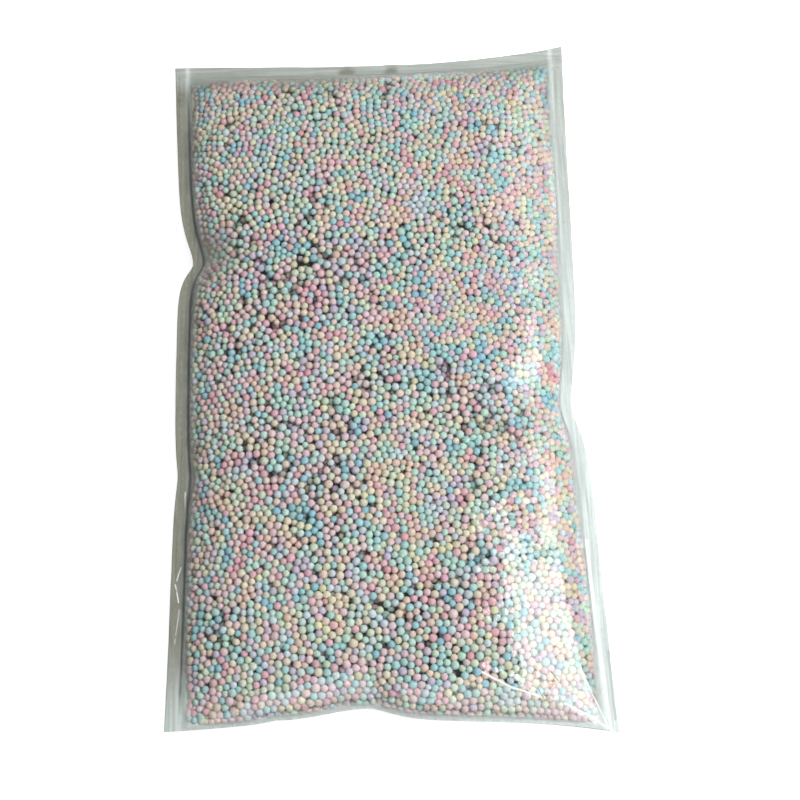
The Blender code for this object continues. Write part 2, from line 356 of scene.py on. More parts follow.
    def skins(self, across: np.ndarray, along: np.ndarray) -> tuple[np.ndarray, ...]:
        """Works out both outer skins at places on the flat sheet.

        Args:
            across: places from 0 at the sheet's left edge to its width.
            along: places from 0 at the fold to the sheet's length.

        Returns:
            X, Y, the upper skin's height and the lower skin's height.
        """
        share_x = np.clip(across / self.width, 0.0, 1.0)
        share_y = np.clip(along / self.length, 0.0, 1.0)
        flat_x = across - self.width / 2.0
        flat_y = along - self.length / 2.0
        left_pull = self.width / 2.0 - self.side_edge(flat_y, self.left_pinches)
        right_pull = self.width / 2.0 - self.side_edge(flat_y, self.right_pinches)
        x = flat_x + left_pull * (1.0 - share_x) ** self.edge_influence
        x = x - right_pull * share_x ** self.edge_influence
        fold_pull = self.fold_edge(flat_x) + self.length / 2.0
        top_pull = self.top_edge(flat_x) - self.length / 2.0
        y = flat_y + fold_pull * (1.0 - share_y) ** self.edge_influence
        y = y + top_pull * share_y ** self.edge_influence

        from_side, from_end = self.inward(across, along)
        half_inside = self.width / 2.0 - self.side_seam
        swell = self.bulge(from_side, half_inside, self.bulge_across)
        swell = swell * self.bulge(from_end, self.end_taper, self.bulge_along)
        level = self.seam_level(flat_y, flat_x)
        lowered = np.maximum(0.0, level - self.film - self.underside_drop * swell)
        dent = self.gathers(flat_x, flat_y, across - self.side_seam,
                            self.width - self.side_seam - across, along - self.fold)
        raised = np.maximum(0.0, self.top_rise * swell - dent * np.minimum(1.0, self.gather_onset * swell))
        return x, y, level + self.film + raised, lowered

    def bead_limit(self, across: np.ndarray) -> np.ndarray:
        """Returns how far along the bag the beads reach, at places across the sheet.

        Args:
            across: places from 0 at the sheet's left edge to its width.

        Returns:
            Places along the sheet, a little short of the seal and shorter where the film dips.
        """
        flat_x = across - self.width / 2.0
        dip = self.top_dip * np.exp(-(((flat_x - self.top_dip_place) / self.top_dip_width) ** 2))
        wander = self.top_gap_wander * np.sin(flat_x / self.top_dip_width + 1.0)
        return self.length - self.top_seal - self.top_gap - dip - wander

    def surface(self, across: np.ndarray, along: np.ndarray, side: np.ndarray) -> np.ndarray:
        """Returns points of the outer skins, the upper one where side is 1 and else the lower one."""
        x, y, upper, lower = self.skins(across, along)
        return np.stack([x, y, np.where(side > 0, upper, lower)], axis=-1)

    def local_frame(self, across: np.ndarray, along: np.ndarray,
                    side: np.ndarray) -> tuple[np.ndarray, ...]:
        """Returns the skin's points there, its tangents across and along, and its outward normal."""
        step = self.tangent_step
        point = self.surface(across, along, side)
        tangent_across = (self.surface(across + step, along, side) - point) / step
        tangent_along = (self.surface(across, along + step, side) - point) / step
        normal = unit(np.cross(tangent_across, tangent_along)) * side[..., None]
        return point, tangent_across, tangent_along, normal


def plan_path(*points: tuple[float, float]) -> tuple[tuple[float, float], ...]:
    """Returns a path in plan, from the X and Y of its points in millimetres."""
    return tuple((x * MM, y * MM) for x, y in points)


def path_distance(path: tuple[tuple[float, float], ...], x: np.ndarray,
                  y: np.ndarray) -> tuple[np.ndarray, np.ndarray]:
    """Returns how far points in plan are from a path, and whether they lie on its right-hand side."""
    nearest = np.full_like(x, np.inf)
    on_right = np.zeros(x.shape, bool)
    for (x0, y0), (x1, y1) in itertools.pairwise(path):
        run_x, run_y = x1 - x0, y1 - y0
        share = ((x - x0) * run_x + (y - y0) * run_y) / (run_x ** 2 + run_y ** 2)
        share = np.clip(share, 0.0, 1.0)
        distance = np.hypot(x - x0 - share * run_x, y - y0 - share * run_y)
        closer = distance < nearest
        nearest = np.where(closer, distance, nearest)
        on_right = np.where(closer, (x - x0) * run_y - (y - y0) * run_x > 0.0, on_right)
    return nearest, on_right


@dataclass(frozen=True)
class Crease:
    """A sharp fold that stands up out of the film along a short path.

    Its right-hand flank, seen along the path, may run out further than the left-hand one.
    """

    path: tuple[tuple[float, float], ...]
    half_width: float
    height: float
    right_run: float = 0.0
    sharpness: float = 1.5

    def rise(self, x: np.ndarray, y: np.ndarray) -> np.ndarray:
        """Returns how far the crease lifts the film at points in plan."""
        nearest, on_right = path_distance(self.path, x, y)
        reach = np.where(on_right, max(self.half_width, self.right_run), self.half_width)
        return self.height * np.exp(-np.abs(nearest / reach) ** self.sharpness)


@dataclass(frozen=True)
class SeamWrinkles:
    """Small folds that run in from an edge, where the filled film is drawn together."""

    spacing: float = 10.0 * MM
    half_width: float = 1.9 * MM
    reach: float = 9.0 * MM
    height: float = 0.5 * MM
    place_range: tuple[float, float] = (0.1, 0.9)
    lean_range: tuple[float, float] = (-0.45, 0.45)
    reach_range: tuple[float, float] = (0.6, 1.6)
    width_range: tuple[float, float] = (0.6, 1.4)
    height_range: tuple[float, float] = (0.3, 1.0)
    start_range: tuple[float, float] = (-0.5 * MM, 1.5 * MM)
    seed: int = 5

    def rise(self, where: np.ndarray, inward: np.ndarray, length: float) -> np.ndarray:
        """Returns how far the wrinkles lift the film.

        Args:
            where: distances along the edge.
            inward: distances in from the seam.
            length: the edge's length.

        Returns:
            Heights above the plain form.
        """
        rng = np.random.default_rng(self.seed)
        rise = np.zeros_like(where)
        for number in range(int(length / self.spacing)):
            place = (number + rng.uniform(*self.place_range)) * self.spacing
            lean = rng.uniform(*self.lean_range)
            reach = self.reach * rng.uniform(*self.reach_range)
            width = self.half_width * rng.uniform(*self.width_range)
            height = self.height * rng.uniform(*self.height_range)
            offset = where - place - lean * inward
            fade = np.exp(-((inward / reach) ** 2)) * smooth_step(inward, *self.start_range)
            rise = rise + height * np.exp(-((offset / width) ** 2)) * fade
        return rise


@dataclass(frozen=True)
class FilmMark:
    """A line along a sharp fold in the film, seen in plan, painted as a highlight on most folds and as
    shade on a few.
    """

    path: tuple[tuple[float, float], ...]
    half_width: float
    strength: float = 1.0


@dataclass(frozen=True)
class ClearFilm:
    """Cast polypropylene film, chilled on a polished roller.

    The roller leaves it clear and glossy. Where it was heat sealed it has crystallised, so it is
    cloudy there. The cloud's colour is painted light and shade: grey-green painted shade, and paler
    painted light on the side that faces the window.
    """

    name: str = "cast_polypropylene_film"
    gloss_roughness: float = 0.13
    facing_reflection: float = 0.1
    grazing_power: float = 5.0
    let_through: tuple[float, float] = (0.94, 0.6)
    # The cloud's painted shade colour and painted light colour, mixed per vertex.
    painted_shade_haze: str = "#8B8C7E"
    painted_light_haze: str = "#D6E1DE"
    haze_flatness: float = 0.02
    haze_strength: float = 0.72
    streak_width: float = 0.8 * MM
    streak_length: float = 22.0 * MM
    streak_range: tuple[float, float] = (0.84, 1.14)
    end_seal_from: float = 134.0 * MM
    mottle_size: float = 5.0 * MM
    dimple_size: float = 3.1 * MM
    dimple_depth: float = 0.11 * MM
    ripple_size: float = 9.0 * MM
    ripple_depth: float = 0.2 * MM
    facet_size: float = 13.0 * MM
    facet_depth: float = 0.17 * MM
    # Painted highlight colour and painted shade colour for the lines along sharp folds.
    painted_highlight: str = "#F6FAF9"
    painted_fold_shade: str = "#8F9594"
    painted_highlight_marks: tuple[FilmMark, ...] = ()
    painted_shade_marks: tuple[FilmMark, ...] = ()
    mark_wander: float = 0.5 * MM
    mark_wander_size: float = 5.0 * MM
    mark_core: float = 0.3
    noise_range: tuple[float, float] = (0.3, 0.7)
    mottle_range: tuple[float, float] = (0.8, 1.2)
    seam_haze: float = 0.85

    def marked(self, tree: bpy.types.NodeTree, plan: bpy.types.NodeSocket,
               marks: tuple[FilmMark, ...]) -> bpy.types.NodeSocket:
        """Adds nodes that tell how strongly a point is marked.

        Args:
            tree: the node tree that takes the nodes.
            plan: the point, flattened on to the table.
            marks: the marks, of which there is one at least.

        Returns:
            A socket that is a mark's strength on its line and 0 from its half width on.
        """
        shares = []
        for mark in marks:
            for start, end in itertools.pairwise(mark.path):
                origin = Vector((*start, 0.0))
                run = Vector((*end, 0.0)) - origin
                offset = add_node(tree, "ShaderNodeVectorMath", {0: plan, 1: origin}, operation="SUBTRACT")
                portion = add_node(tree, "ShaderNodeVectorMath", {
                    0: offset.outputs[0], 1: run / run.length_squared,
                }, operation="DOT_PRODUCT")
                portion = add_node(tree, "ShaderNodeClamp", {"Value": portion.outputs["Value"]})
                foot = add_node(tree, "ShaderNodeVectorMath", {0: run, "Scale": portion.outputs[0]},
                                operation="SCALE")
                gap = add_node(tree, "ShaderNodeVectorMath", {0: offset.outputs[0], 1: foot.outputs[0]},
                               operation="DISTANCE")
                near = add_node(tree, "ShaderNodeMapRange", {
                    "Value": gap.outputs["Value"], "From Min": self.mark_core * mark.half_width,
                    "From Max": mark.half_width, "To Min": mark.strength, "To Max": 0.0,
                }, interpolation_type="SMOOTHSTEP")
                shares.append(near.outputs[0])
        total = shares[0]
        for share in shares[1:]:
            total = add_node(tree, "ShaderNodeMath", {0: total, 1: share}, operation="MAXIMUM").outputs[0]
        return total

    def relief(self, tree: bpy.types.NodeTree, place: bpy.types.NodeSocket) -> bpy.types.NodeSocket:
        """Adds nodes for the film's unevenness.

        The film lies on the beads, which press shallow dimples into it, and ripples between them.
        Being stiff, it also crinkles into facets that meet in soft edges.

        Args:
            tree: the node tree that takes the nodes.
            place: the point, in the object's coordinates.

        Returns:
            The bent normal.
        """
        patterns = (
            ("ShaderNodeTexVoronoi", "Distance", self.dimple_size, self.dimple_depth, True),
            ("ShaderNodeTexNoise", "Fac", self.ripple_size, self.ripple_depth, False),
            ("ShaderNodeTexVoronoi", "Distance", self.facet_size, self.facet_depth, False),
        )
        before = {}
        for kind, output, size, depth, pressed_in in patterns:
            pattern = add_node(tree, kind, {"Vector": place, "Scale": 1.0 / size})
            bump = add_node(tree, "ShaderNodeBump", {
                "Height": pattern.outputs[output], "Distance": depth, "Strength": 1.0, **before,
            }, invert=pressed_in)
            before = {"Normal": bump.outputs["Normal"]}
        return before["Normal"]

    def clear_part(self, tree: bpy.types.NodeTree, normal: bpy.types.NodeSocket) -> bpy.types.NodeSocket:
        """Adds nodes for clear film, which reflects more light at a grazing angle.

        Args:
            tree: the node tree that takes the nodes.
            normal: the film's bent normal.

        Returns:
            The shader.
        """
        facing = add_node(tree, "ShaderNodeLayerWeight", {"Blend": 0.5, "Normal": normal})
        grazing = add_node(tree, "ShaderNodeMath", {0: facing.outputs["Facing"], 1: self.grazing_power},
                           operation="POWER")
        reflected = add_node(tree, "ShaderNodeMath", {
            0: grazing.outputs[0], 1: 1.0 - self.facing_reflection, 2: self.facing_reflection,
        }, operation="MULTIPLY_ADD")
        through = add_node(tree, "ShaderNodeBsdfTransparent")
        gloss = add_node(tree, "ShaderNodeBsdfGlossy", {
            "Roughness": self.gloss_roughness, "Normal": normal,
        })
        return add_node(tree, "ShaderNodeMixShader", {
            0: reflected.outputs[0], 1: through.outputs[0], 2: gloss.outputs[0],
        }).outputs[0]

    def cloud_share(self, tree: bpy.types.NodeTree, place: bpy.types.NodeSocket,
                    haze: bpy.types.NodeSocket) -> bpy.types.NodeSocket:
        """Adds nodes that tell how cloudy the film is, mottled as it cooled.

        The face that is seen first stands for both faces of the film.

        Args:
            tree: the node tree that takes the nodes.
            place: the point, in the object's coordinates.
            haze: the film's haze there, from 0 to 1.

        Returns:
            The share of the light that the cloud scatters.
        """
        mottle = add_node(tree, "ShaderNodeTexNoise", {
            "Vector": place, "Scale": 1.0 / self.mottle_size, "Detail": 3.0, "Roughness": 0.6,
        })
        spread = add_node(tree, "ShaderNodeMapRange", {
            "Value": mottle.outputs["Fac"], "From Min": self.noise_range[0],
            "From Max": self.noise_range[1], "To Min": self.mottle_range[0] * self.haze_strength,
            "To Max": self.mottle_range[1] * self.haze_strength,
        })
        one_face = add_node(tree, "ShaderNodeMath", {0: spread.outputs[0], 1: haze}, operation="MULTIPLY",
                            use_clamp=True)
        rest = add_node(tree, "ShaderNodeMath", {0: 2.0, 1: one_face.outputs[0]}, operation="SUBTRACT")
        return add_node(tree, "ShaderNodeMath", {0: one_face.outputs[0], 1: rest.outputs[0]},
                        operation="MULTIPLY").outputs[0]

    def cloud_colour(self, tree: bpy.types.NodeTree, place: bpy.types.NodeSocket,
                     haze: bpy.types.NodeSocket) -> bpy.types.NodeSocket:
        """Adds nodes for the cloud's colour, painted shade and painted light mixed, which the sealing
        jaws drew out in streaks at each seam.

        Args:
            tree: the node tree that takes the nodes.
            place: the point, in the object's coordinates.
            haze: the film's haze there, from 0 to 1.

        Returns:
            The colour.
        """
        # How much painted light against painted shade the cloud has at this vertex.
        lit = add_node(tree, "ShaderNodeAttribute", attribute_name="painted_light_side").outputs["Fac"]
        colour = add_node(tree, "ShaderNodeMix", {
            "Factor": lit, 6: linear(self.painted_shade_haze), 7: linear(self.painted_light_haze),
        }, data_type="RGBA")
        along = add_node(tree, "ShaderNodeSeparateXYZ", {0: place}).outputs["Y"]
        at_end = add_node(tree, "ShaderNodeMath", {0: along, 1: self.end_seal_from},
                          operation="GREATER_THAN")
        fine, slow = 1.0 / self.streak_width, 1.0 / self.streak_length
        squeeze = add_node(tree, "ShaderNodeMix", {
            "Factor": at_end.outputs[0], 4: (fine, slow, slow), 5: (slow, fine, slow),
        }, data_type="VECTOR")
        drawn = add_node(tree, "ShaderNodeVectorMath", {0: place, 1: squeeze.outputs[1]},
                         operation="MULTIPLY")
        streaks = add_node(tree, "ShaderNodeTexNoise", {
            "Vector": drawn.outputs[0], "Scale": 1.0, "Detail": 1.0,
        })
        shade = add_node(tree, "ShaderNodeMapRange", {
            "Value": streaks.outputs["Fac"], "From Min": self.noise_range[0],
            "From Max": self.noise_range[1], "To Min": self.streak_range[0], "To Max": self.streak_range[1],
        })
        in_seam = add_node(tree, "ShaderNodeMapRange", {"Value": haze, "From Min": self.seam_haze})
        shade = add_node(tree, "ShaderNodeMix", {0: in_seam.outputs[0], 2: 1.0, 3: shade.outputs[0]})
        return add_node(tree, "ShaderNodeVectorMath", {0: colour.outputs[2], "Scale": shade.outputs[0]},
                        operation="SCALE").outputs[0]

    def with_folds(self, tree: bpy.types.NodeTree, place: bpy.types.NodeSocket,
                   plain: bpy.types.NodeSocket) -> bpy.types.NodeSocket:
        """Adds nodes for sharp folds: most carry a painted highlight, and a few painted shade.

        Args:
            tree: the node tree that takes the nodes.
            place: the point, in the object's coordinates.
            plain: the shader of film without folds.

        Returns:
            The shader with the folds, which are worked out only near them.
        """
        wander = add_node(tree, "ShaderNodeTexNoise", {
            "Vector": place, "Scale": 1.0 / self.mark_wander_size,
        })
        shift = add_node(tree, "ShaderNodeVectorMath", {
            0: wander.outputs["Color"], 1: (self.mark_wander,) * 3, 2: place,
        }, operation="MULTIPLY_ADD")
        plan = add_node(tree, "ShaderNodeVectorMath", {0: shift.outputs[0], 1: (1.0, 1.0, 0.0)},
                        operation="MULTIPLY")
        folded = plain
        # Painted highlights, then painted shade, along the fold lines.
        for marks, tone in ((self.painted_highlight_marks, self.painted_highlight), (self.painted_shade_marks, self.painted_fold_shade)):
            if not marks:
                continue
            line = add_node(tree, "ShaderNodeBsdfDiffuse", {"Color": linear(tone)})
            folded = add_node(tree, "ShaderNodeMixShader", {
                0: self.marked(tree, plan.outputs[0], marks), 1: folded, 2: line.outputs[0],
            }).outputs[0]
        near_mark = add_node(tree, "ShaderNodeAttribute", attribute_name="near_mark").outputs["Fac"]
        return add_node(tree, "ShaderNodeMixShader", {0: near_mark, 1: plain, 2: folded}).outputs[0]

    def material(self) -> bpy.types.Material:
        """Builds the film's node tree and returns its material."""
        material, tree = new_material(self.name)
        place = add_node(tree, "ShaderNodeTexCoord").outputs["Object"]
        haze = add_node(tree, "ShaderNodeAttribute", attribute_name="haze").outputs["Fac"]
        geometry = add_node(tree, "ShaderNodeNewGeometry").outputs
        clear = self.clear_part(tree, self.relief(tree, place))

        # The cloud scatters light all through the film, so it is lit about as flat film is.
        flattened = add_node(tree, "ShaderNodeVectorMath", {
            0: geometry["Normal"], 1: (self.haze_flatness, self.haze_flatness, 1.0),
        }, operation="MULTIPLY")
        scattered = add_node(tree, "ShaderNodeVectorMath", {0: flattened.outputs[0]},
                             operation="NORMALIZE")
        cloud = add_node(tree, "ShaderNodeBsdfDiffuse", {
            "Color": self.cloud_colour(tree, place, haze), "Normal": scattered.outputs[0],
        })
        plain = add_node(tree, "ShaderNodeMixShader", {
            0: self.cloud_share(tree, place, haze), 1: clear, 2: cloud.outputs[0],
        })
        whole = self.with_folds(tree, place, plain.outputs[0])

        # Light on its way to the beads, or seen through the second face, is only dimmed.
        path = add_node(tree, "ShaderNodeLightPath").outputs
        passing = add_node(tree, "ShaderNodeMath", {0: path["Is Shadow Ray"], 1: path["Is Diffuse Ray"]},
                           operation="MAXIMUM")
        passing = add_node(tree, "ShaderNodeMath", {0: passing.outputs[0], 1: geometry["Backfacing"]},
                           operation="MAXIMUM")
        dimmed = add_node(tree, "ShaderNodeMapRange", {
            "Value": haze, "To Min": self.let_through[0], "To Max": self.let_through[1],
        })
        passed = add_node(tree, "ShaderNodeBsdfTransparent", {"Color": dimmed.outputs[0]})
        film = add_node(tree, "ShaderNodeMixShader", {
            0: passing.outputs[0], 1: whole, 2: passed.outputs[0],
        })
        add_node(tree, "ShaderNodeOutputMaterial", {"Surface": film.outputs[0]})
        return material


@dataclass(frozen=True)
class FoamBead:
    """Expanded polystyrene, dyed and steamed into small round beads.

    The steam leaves a matte skin of closed cells, which the eye sees as a faint grain.
    """

    name: str = "expanded_polystyrene_bead"
    roughness: float = 0.62
    specular: float = 0.28
    grain_size: float = 0.55 * MM
    grain_depth: float = 0.035 * MM
    mottle: float = 0.10
    cell_edge: float = 0.8

    def material(self) -> bpy.types.Material:
        """Builds the bead's node tree, which takes its dye, with painted shade on deeper beads, from each
        bead.
        """
        material, tree = new_material(self.name)
        place = add_node(tree, "ShaderNodeTexCoord").outputs["Object"]
        dye = add_node(tree, "ShaderNodeAttribute", attribute_name="dye").outputs["Color"]
        cells = add_node(tree, "ShaderNodeTexVoronoi", {"Vector": place, "Scale": 1.0 / self.grain_size})
        shade = add_node(tree, "ShaderNodeMapRange", {
            "Value": cells.outputs["Distance"], "From Max": self.cell_edge,
            "To Min": 1.0, "To Max": 1.0 - self.mottle,
        })
        colour = add_node(tree, "ShaderNodeMix", {
            "Factor": 1.0, 6: dye, 7: shade.outputs[0],
        }, data_type="RGBA", blend_type="MULTIPLY")
        grain = add_node(tree, "ShaderNodeBump", {
            "Height": cells.outputs["Distance"], "Distance": self.grain_depth, "Strength": 1.0,
        }, invert=True)
        foam = add_node(tree, "ShaderNodeBsdfPrincipled", {
            "Base Color": colour.outputs[2], "Roughness": self.roughness,
            "Specular IOR Level": self.specular, "Normal": grain.outputs["Normal"],
        })
        add_node(tree, "ShaderNodeOutputMaterial", {"Surface": foam.outputs[0]})
        return material


class Dye(Enum):
    """The dyes of the bead mix: a colour, and its share of the beads."""

    BLUSH = ("#F1D8DB", 18)
    ROSE = ("#F1C3CB", 9)
    PEACH = ("#F3D9C9", 10)
    CREAM = ("#F2E8D0", 13)
    LEMON = ("#EEECC8", 2)
    PALE_GREEN = ("#E0EDD6", 11)
    MINT = ("#CBECE0", 14)
    AQUA = ("#B6E3E4", 9)
    SKY = ("#A4D9E4", 4)
    ICE = ("#D8E9EC", 10)
    LAVENDER = ("#D9D1E1", 7)
    CORAL = ("#EEB2BB", 0.7)

    @property
    def colour(self) -> tuple[float, float, float, float]:
        """The dye's linear colour."""
        return linear(self.value[0])

    @property
    def share(self) -> float:
        """The dye's share of the mix, against the other shares."""
        return float(self.value[1])


@dataclass(frozen=True)
class Puckers:
    """Places in the upper seal where the two skins weren't pressed together and stand apart."""

    places: tuple[float, ...] = (-9.2 * MM, 8.9 * MM)
    width: float = 6.0 * MM
    height: float = 0.5 * MM
    fade: float = 3.0 * MM
    # Painted shade in the puckers: how wide it is, how it narrows, how strong it is and where it fades.
    shaded_halves: tuple[float, ...] = (4.4 * MM, 3.0 * MM)
    narrowing: float = 0.65
    shade: float = 0.3
    soft_edge: float = 0.6 * MM
    shade_lead: float = 1.0 * MM
    shade_end: tuple[float, float] = (0.6, 0.95)

    def gap(self, x: np.ndarray, along: np.ndarray, seal_line: float) -> np.ndarray:
        """Returns how far the two skins stand apart.

        Args:
            x: places across the bag from its centre line.
            along: places along the sheet.
            seal_line: where the seal starts along the sheet.
        """
        fade = smooth_step(along, seal_line - self.fade, seal_line)
        height = np.zeros_like(x)
        for place in self.places:
            share = 2.0 * (x - place) / self.width
            height = height + self.height * np.maximum(0.0, 1.0 - share ** 2)
        return height * fade

    def shading(self, x: np.ndarray, along: np.ndarray, seal_line: float, seal: float) -> np.ndarray:
        """Returns the painted shade that darkens the film in the puckers, which narrow outwards.

        Args:
            x: places across the bag from its centre line.
            along: places along the sheet.
            seal_line: where the seal starts along the sheet.
            seal: the seal's height.
        """
        seal_share = np.clip((along - seal_line) / seal, 0.0, 1.0)
        inner = smooth_step(along, seal_line - self.shade_lead, seal_line)
        reach = inner * (1.0 - smooth_step(seal_share, *self.shade_end))
        shading = np.zeros_like(x)
        for place, widest in zip(self.places, self.shaded_halves):
            half = widest * (1.0 - self.narrowing * seal_share)
            mouth = 1.0 - smooth_step(np.abs(x - place), half - self.soft_edge, half + self.soft_edge)
            # Painted shade in this pucker's mouth.
            shading = shading + self.shade * mouth * reach
        return shading


@dataclass(frozen=True)
class HazePlan:
    """Where the film is cloudy, and its painted light and shade, at places on the flat sheet."""

    form: BagForm
    puckers: Puckers = Puckers()
    side_reach: float = 1.8 * MM
    side_power: float = 1.5
    wander_lengths: tuple[float, float] = (9.0 * MM, 13.0 * MM)
    wander_shares: tuple[float, float] = (0.35, 0.3)
    left_veil: float = 0.04
    left_veil_reach: float = 13.0 * MM
    top_haze: float = 0.8
    top_reach: float = 5.5 * MM
    top_reach_wave: float = 0.25
    dip_reach: float = 4.5 * MM
    dip_width: float = 14.0 * MM
    top_veil: float = 0.06
    top_veil_reach: float = 14.0 * MM
    fold_haze: float = 0.6
    fold_reach: float = 0.7 * MM
    fold_veil: float = 0.14
    fold_veil_reach: float = 4.0 * MM
    gather_haze: float = 0.09 / MM
    gather_spreads: float = 2.0
    gather_reach_share: float = 0.45
    # The cloud's painted light: paler to the right and towards the fold, raised at the seal and the fold,
    # with a painted light line just inside the side seams.
    light_lean: float = 0.6
    light_offset: float = 0.12
    light_range: tuple[float, float] = (0.1, 0.95)
    seal_start: tuple[float, float] = (0.95, 0.975)
    seal_painted_light: tuple[float, float] = (0.36, 0.16)
    fold_end: float = 0.13
    fold_painted_light: tuple[float, float] = (0.7, 0.25)
    seam_painted_light: float = 0.8
    seam_line: float = 0.5 * MM
    seam_line_half: float = 0.7 * MM

    def painted_light_share(self, across: np.ndarray, along: np.ndarray) -> np.ndarray:
        """Returns the painted light, from 0 on the side painted in shade to 1 on the side painted as lit.
        """
        share_x = across / self.form.width
        share_y = along / self.form.length
        lit = smooth_step(share_x - self.light_lean * share_y + self.light_offset, *self.light_range)
        left_tone, rise = self.seal_painted_light
        sealed_end = smooth_step(share_y, *self.seal_start) * (left_tone + rise * share_x)
        left_tone, rise = self.fold_painted_light
        folded_end = (1.0 - smooth_step(share_y, 0.0, self.fold_end)) * (left_tone + rise * share_x)
        return np.clip(np.maximum(lit, np.maximum(sealed_end, folded_end)), 0.0, 1.0)

    def painted_light_and_shade(self, across: np.ndarray, along: np.ndarray) -> np.ndarray:
        """Returns the film's painted light, with painted light along the seam lines and painted shade in
        the puckers.
        """
        form = self.form
        from_side, _ = form.inward(across, along)
        # A painted light line just inside each side seam, over the shadow that falls there.
        line = np.exp(-(((from_side - self.seam_line) / self.seam_line_half) ** 2))
        shading = self.puckers.shading(across - form.width / 2.0, along,
                                       form.length - form.top_seal, form.top_seal)
        lit = self.painted_light_share(across, along) + self.seam_painted_light * line - shading
        return np.clip(lit, 0.0, 1.0)

    def haze(self, across: np.ndarray, along: np.ndarray) -> np.ndarray:
        """Returns how cloudy the film is: 1 in the seams, and less and less in from them."""
        form = self.form
        from_side, from_end = form.inward(across, along)
        wave_across = np.sin(across / self.wander_lengths[0])
        wave_along = np.sin(along / self.wander_lengths[1] + 1.0)
        wander = 1.0 + self.wander_shares[0] * wave_across + self.wander_shares[1] * wave_along
        top = np.maximum(form.length - form.top_seal - along, 0.0)
        low = np.maximum(along - form.fold, 0.0)
        left = np.maximum(across - form.side_seam, 0.0)
        at_side = np.exp(-((np.maximum(from_side, 0.0) / (self.side_reach * wander)) ** self.side_power))
        # A faint veil of cloud over the beads near the left seam, which takes the painted shade colour
        # there.
        at_left = self.left_veil * np.exp(-((left / self.left_veil_reach) ** 2))
        from_dip = across - form.width / 2.0 - form.top_dip_place
        top_reach = self.top_reach * (1.0 + self.top_reach_wave * wave_across)
        top_reach = top_reach + self.dip_reach * np.exp(-((from_dip / self.dip_width) ** 2))
        at_top = self.top_haze * np.exp(-((top / top_reach) ** 2))
        at_top = at_top + self.top_veil * np.exp(-top / self.top_veil_reach)
        at_fold = self.fold_haze * np.exp(-((low / self.fold_reach) ** 2))
        at_fold = at_fold + self.fold_veil * np.exp(-low / (self.fold_veil_reach * wander))
        inside = np.maximum(np.maximum(at_side, at_left), np.maximum(at_top, at_fold))
        for pinch in form.left_pinches:
            offset = along - form.length / 2.0 - pinch.place
            offset = offset / (self.gather_spreads * pinch.spread_before)
            reach = self.gather_reach_share * pinch.gather_reach
            gathered = self.gather_haze * pinch.depth * np.exp(-(offset ** 2) - (left / reach) ** 2)
            inside = np.maximum(inside, gathered)
        return np.where((from_side <= 0.0) | (from_end <= 0.0), 1.0, inside)


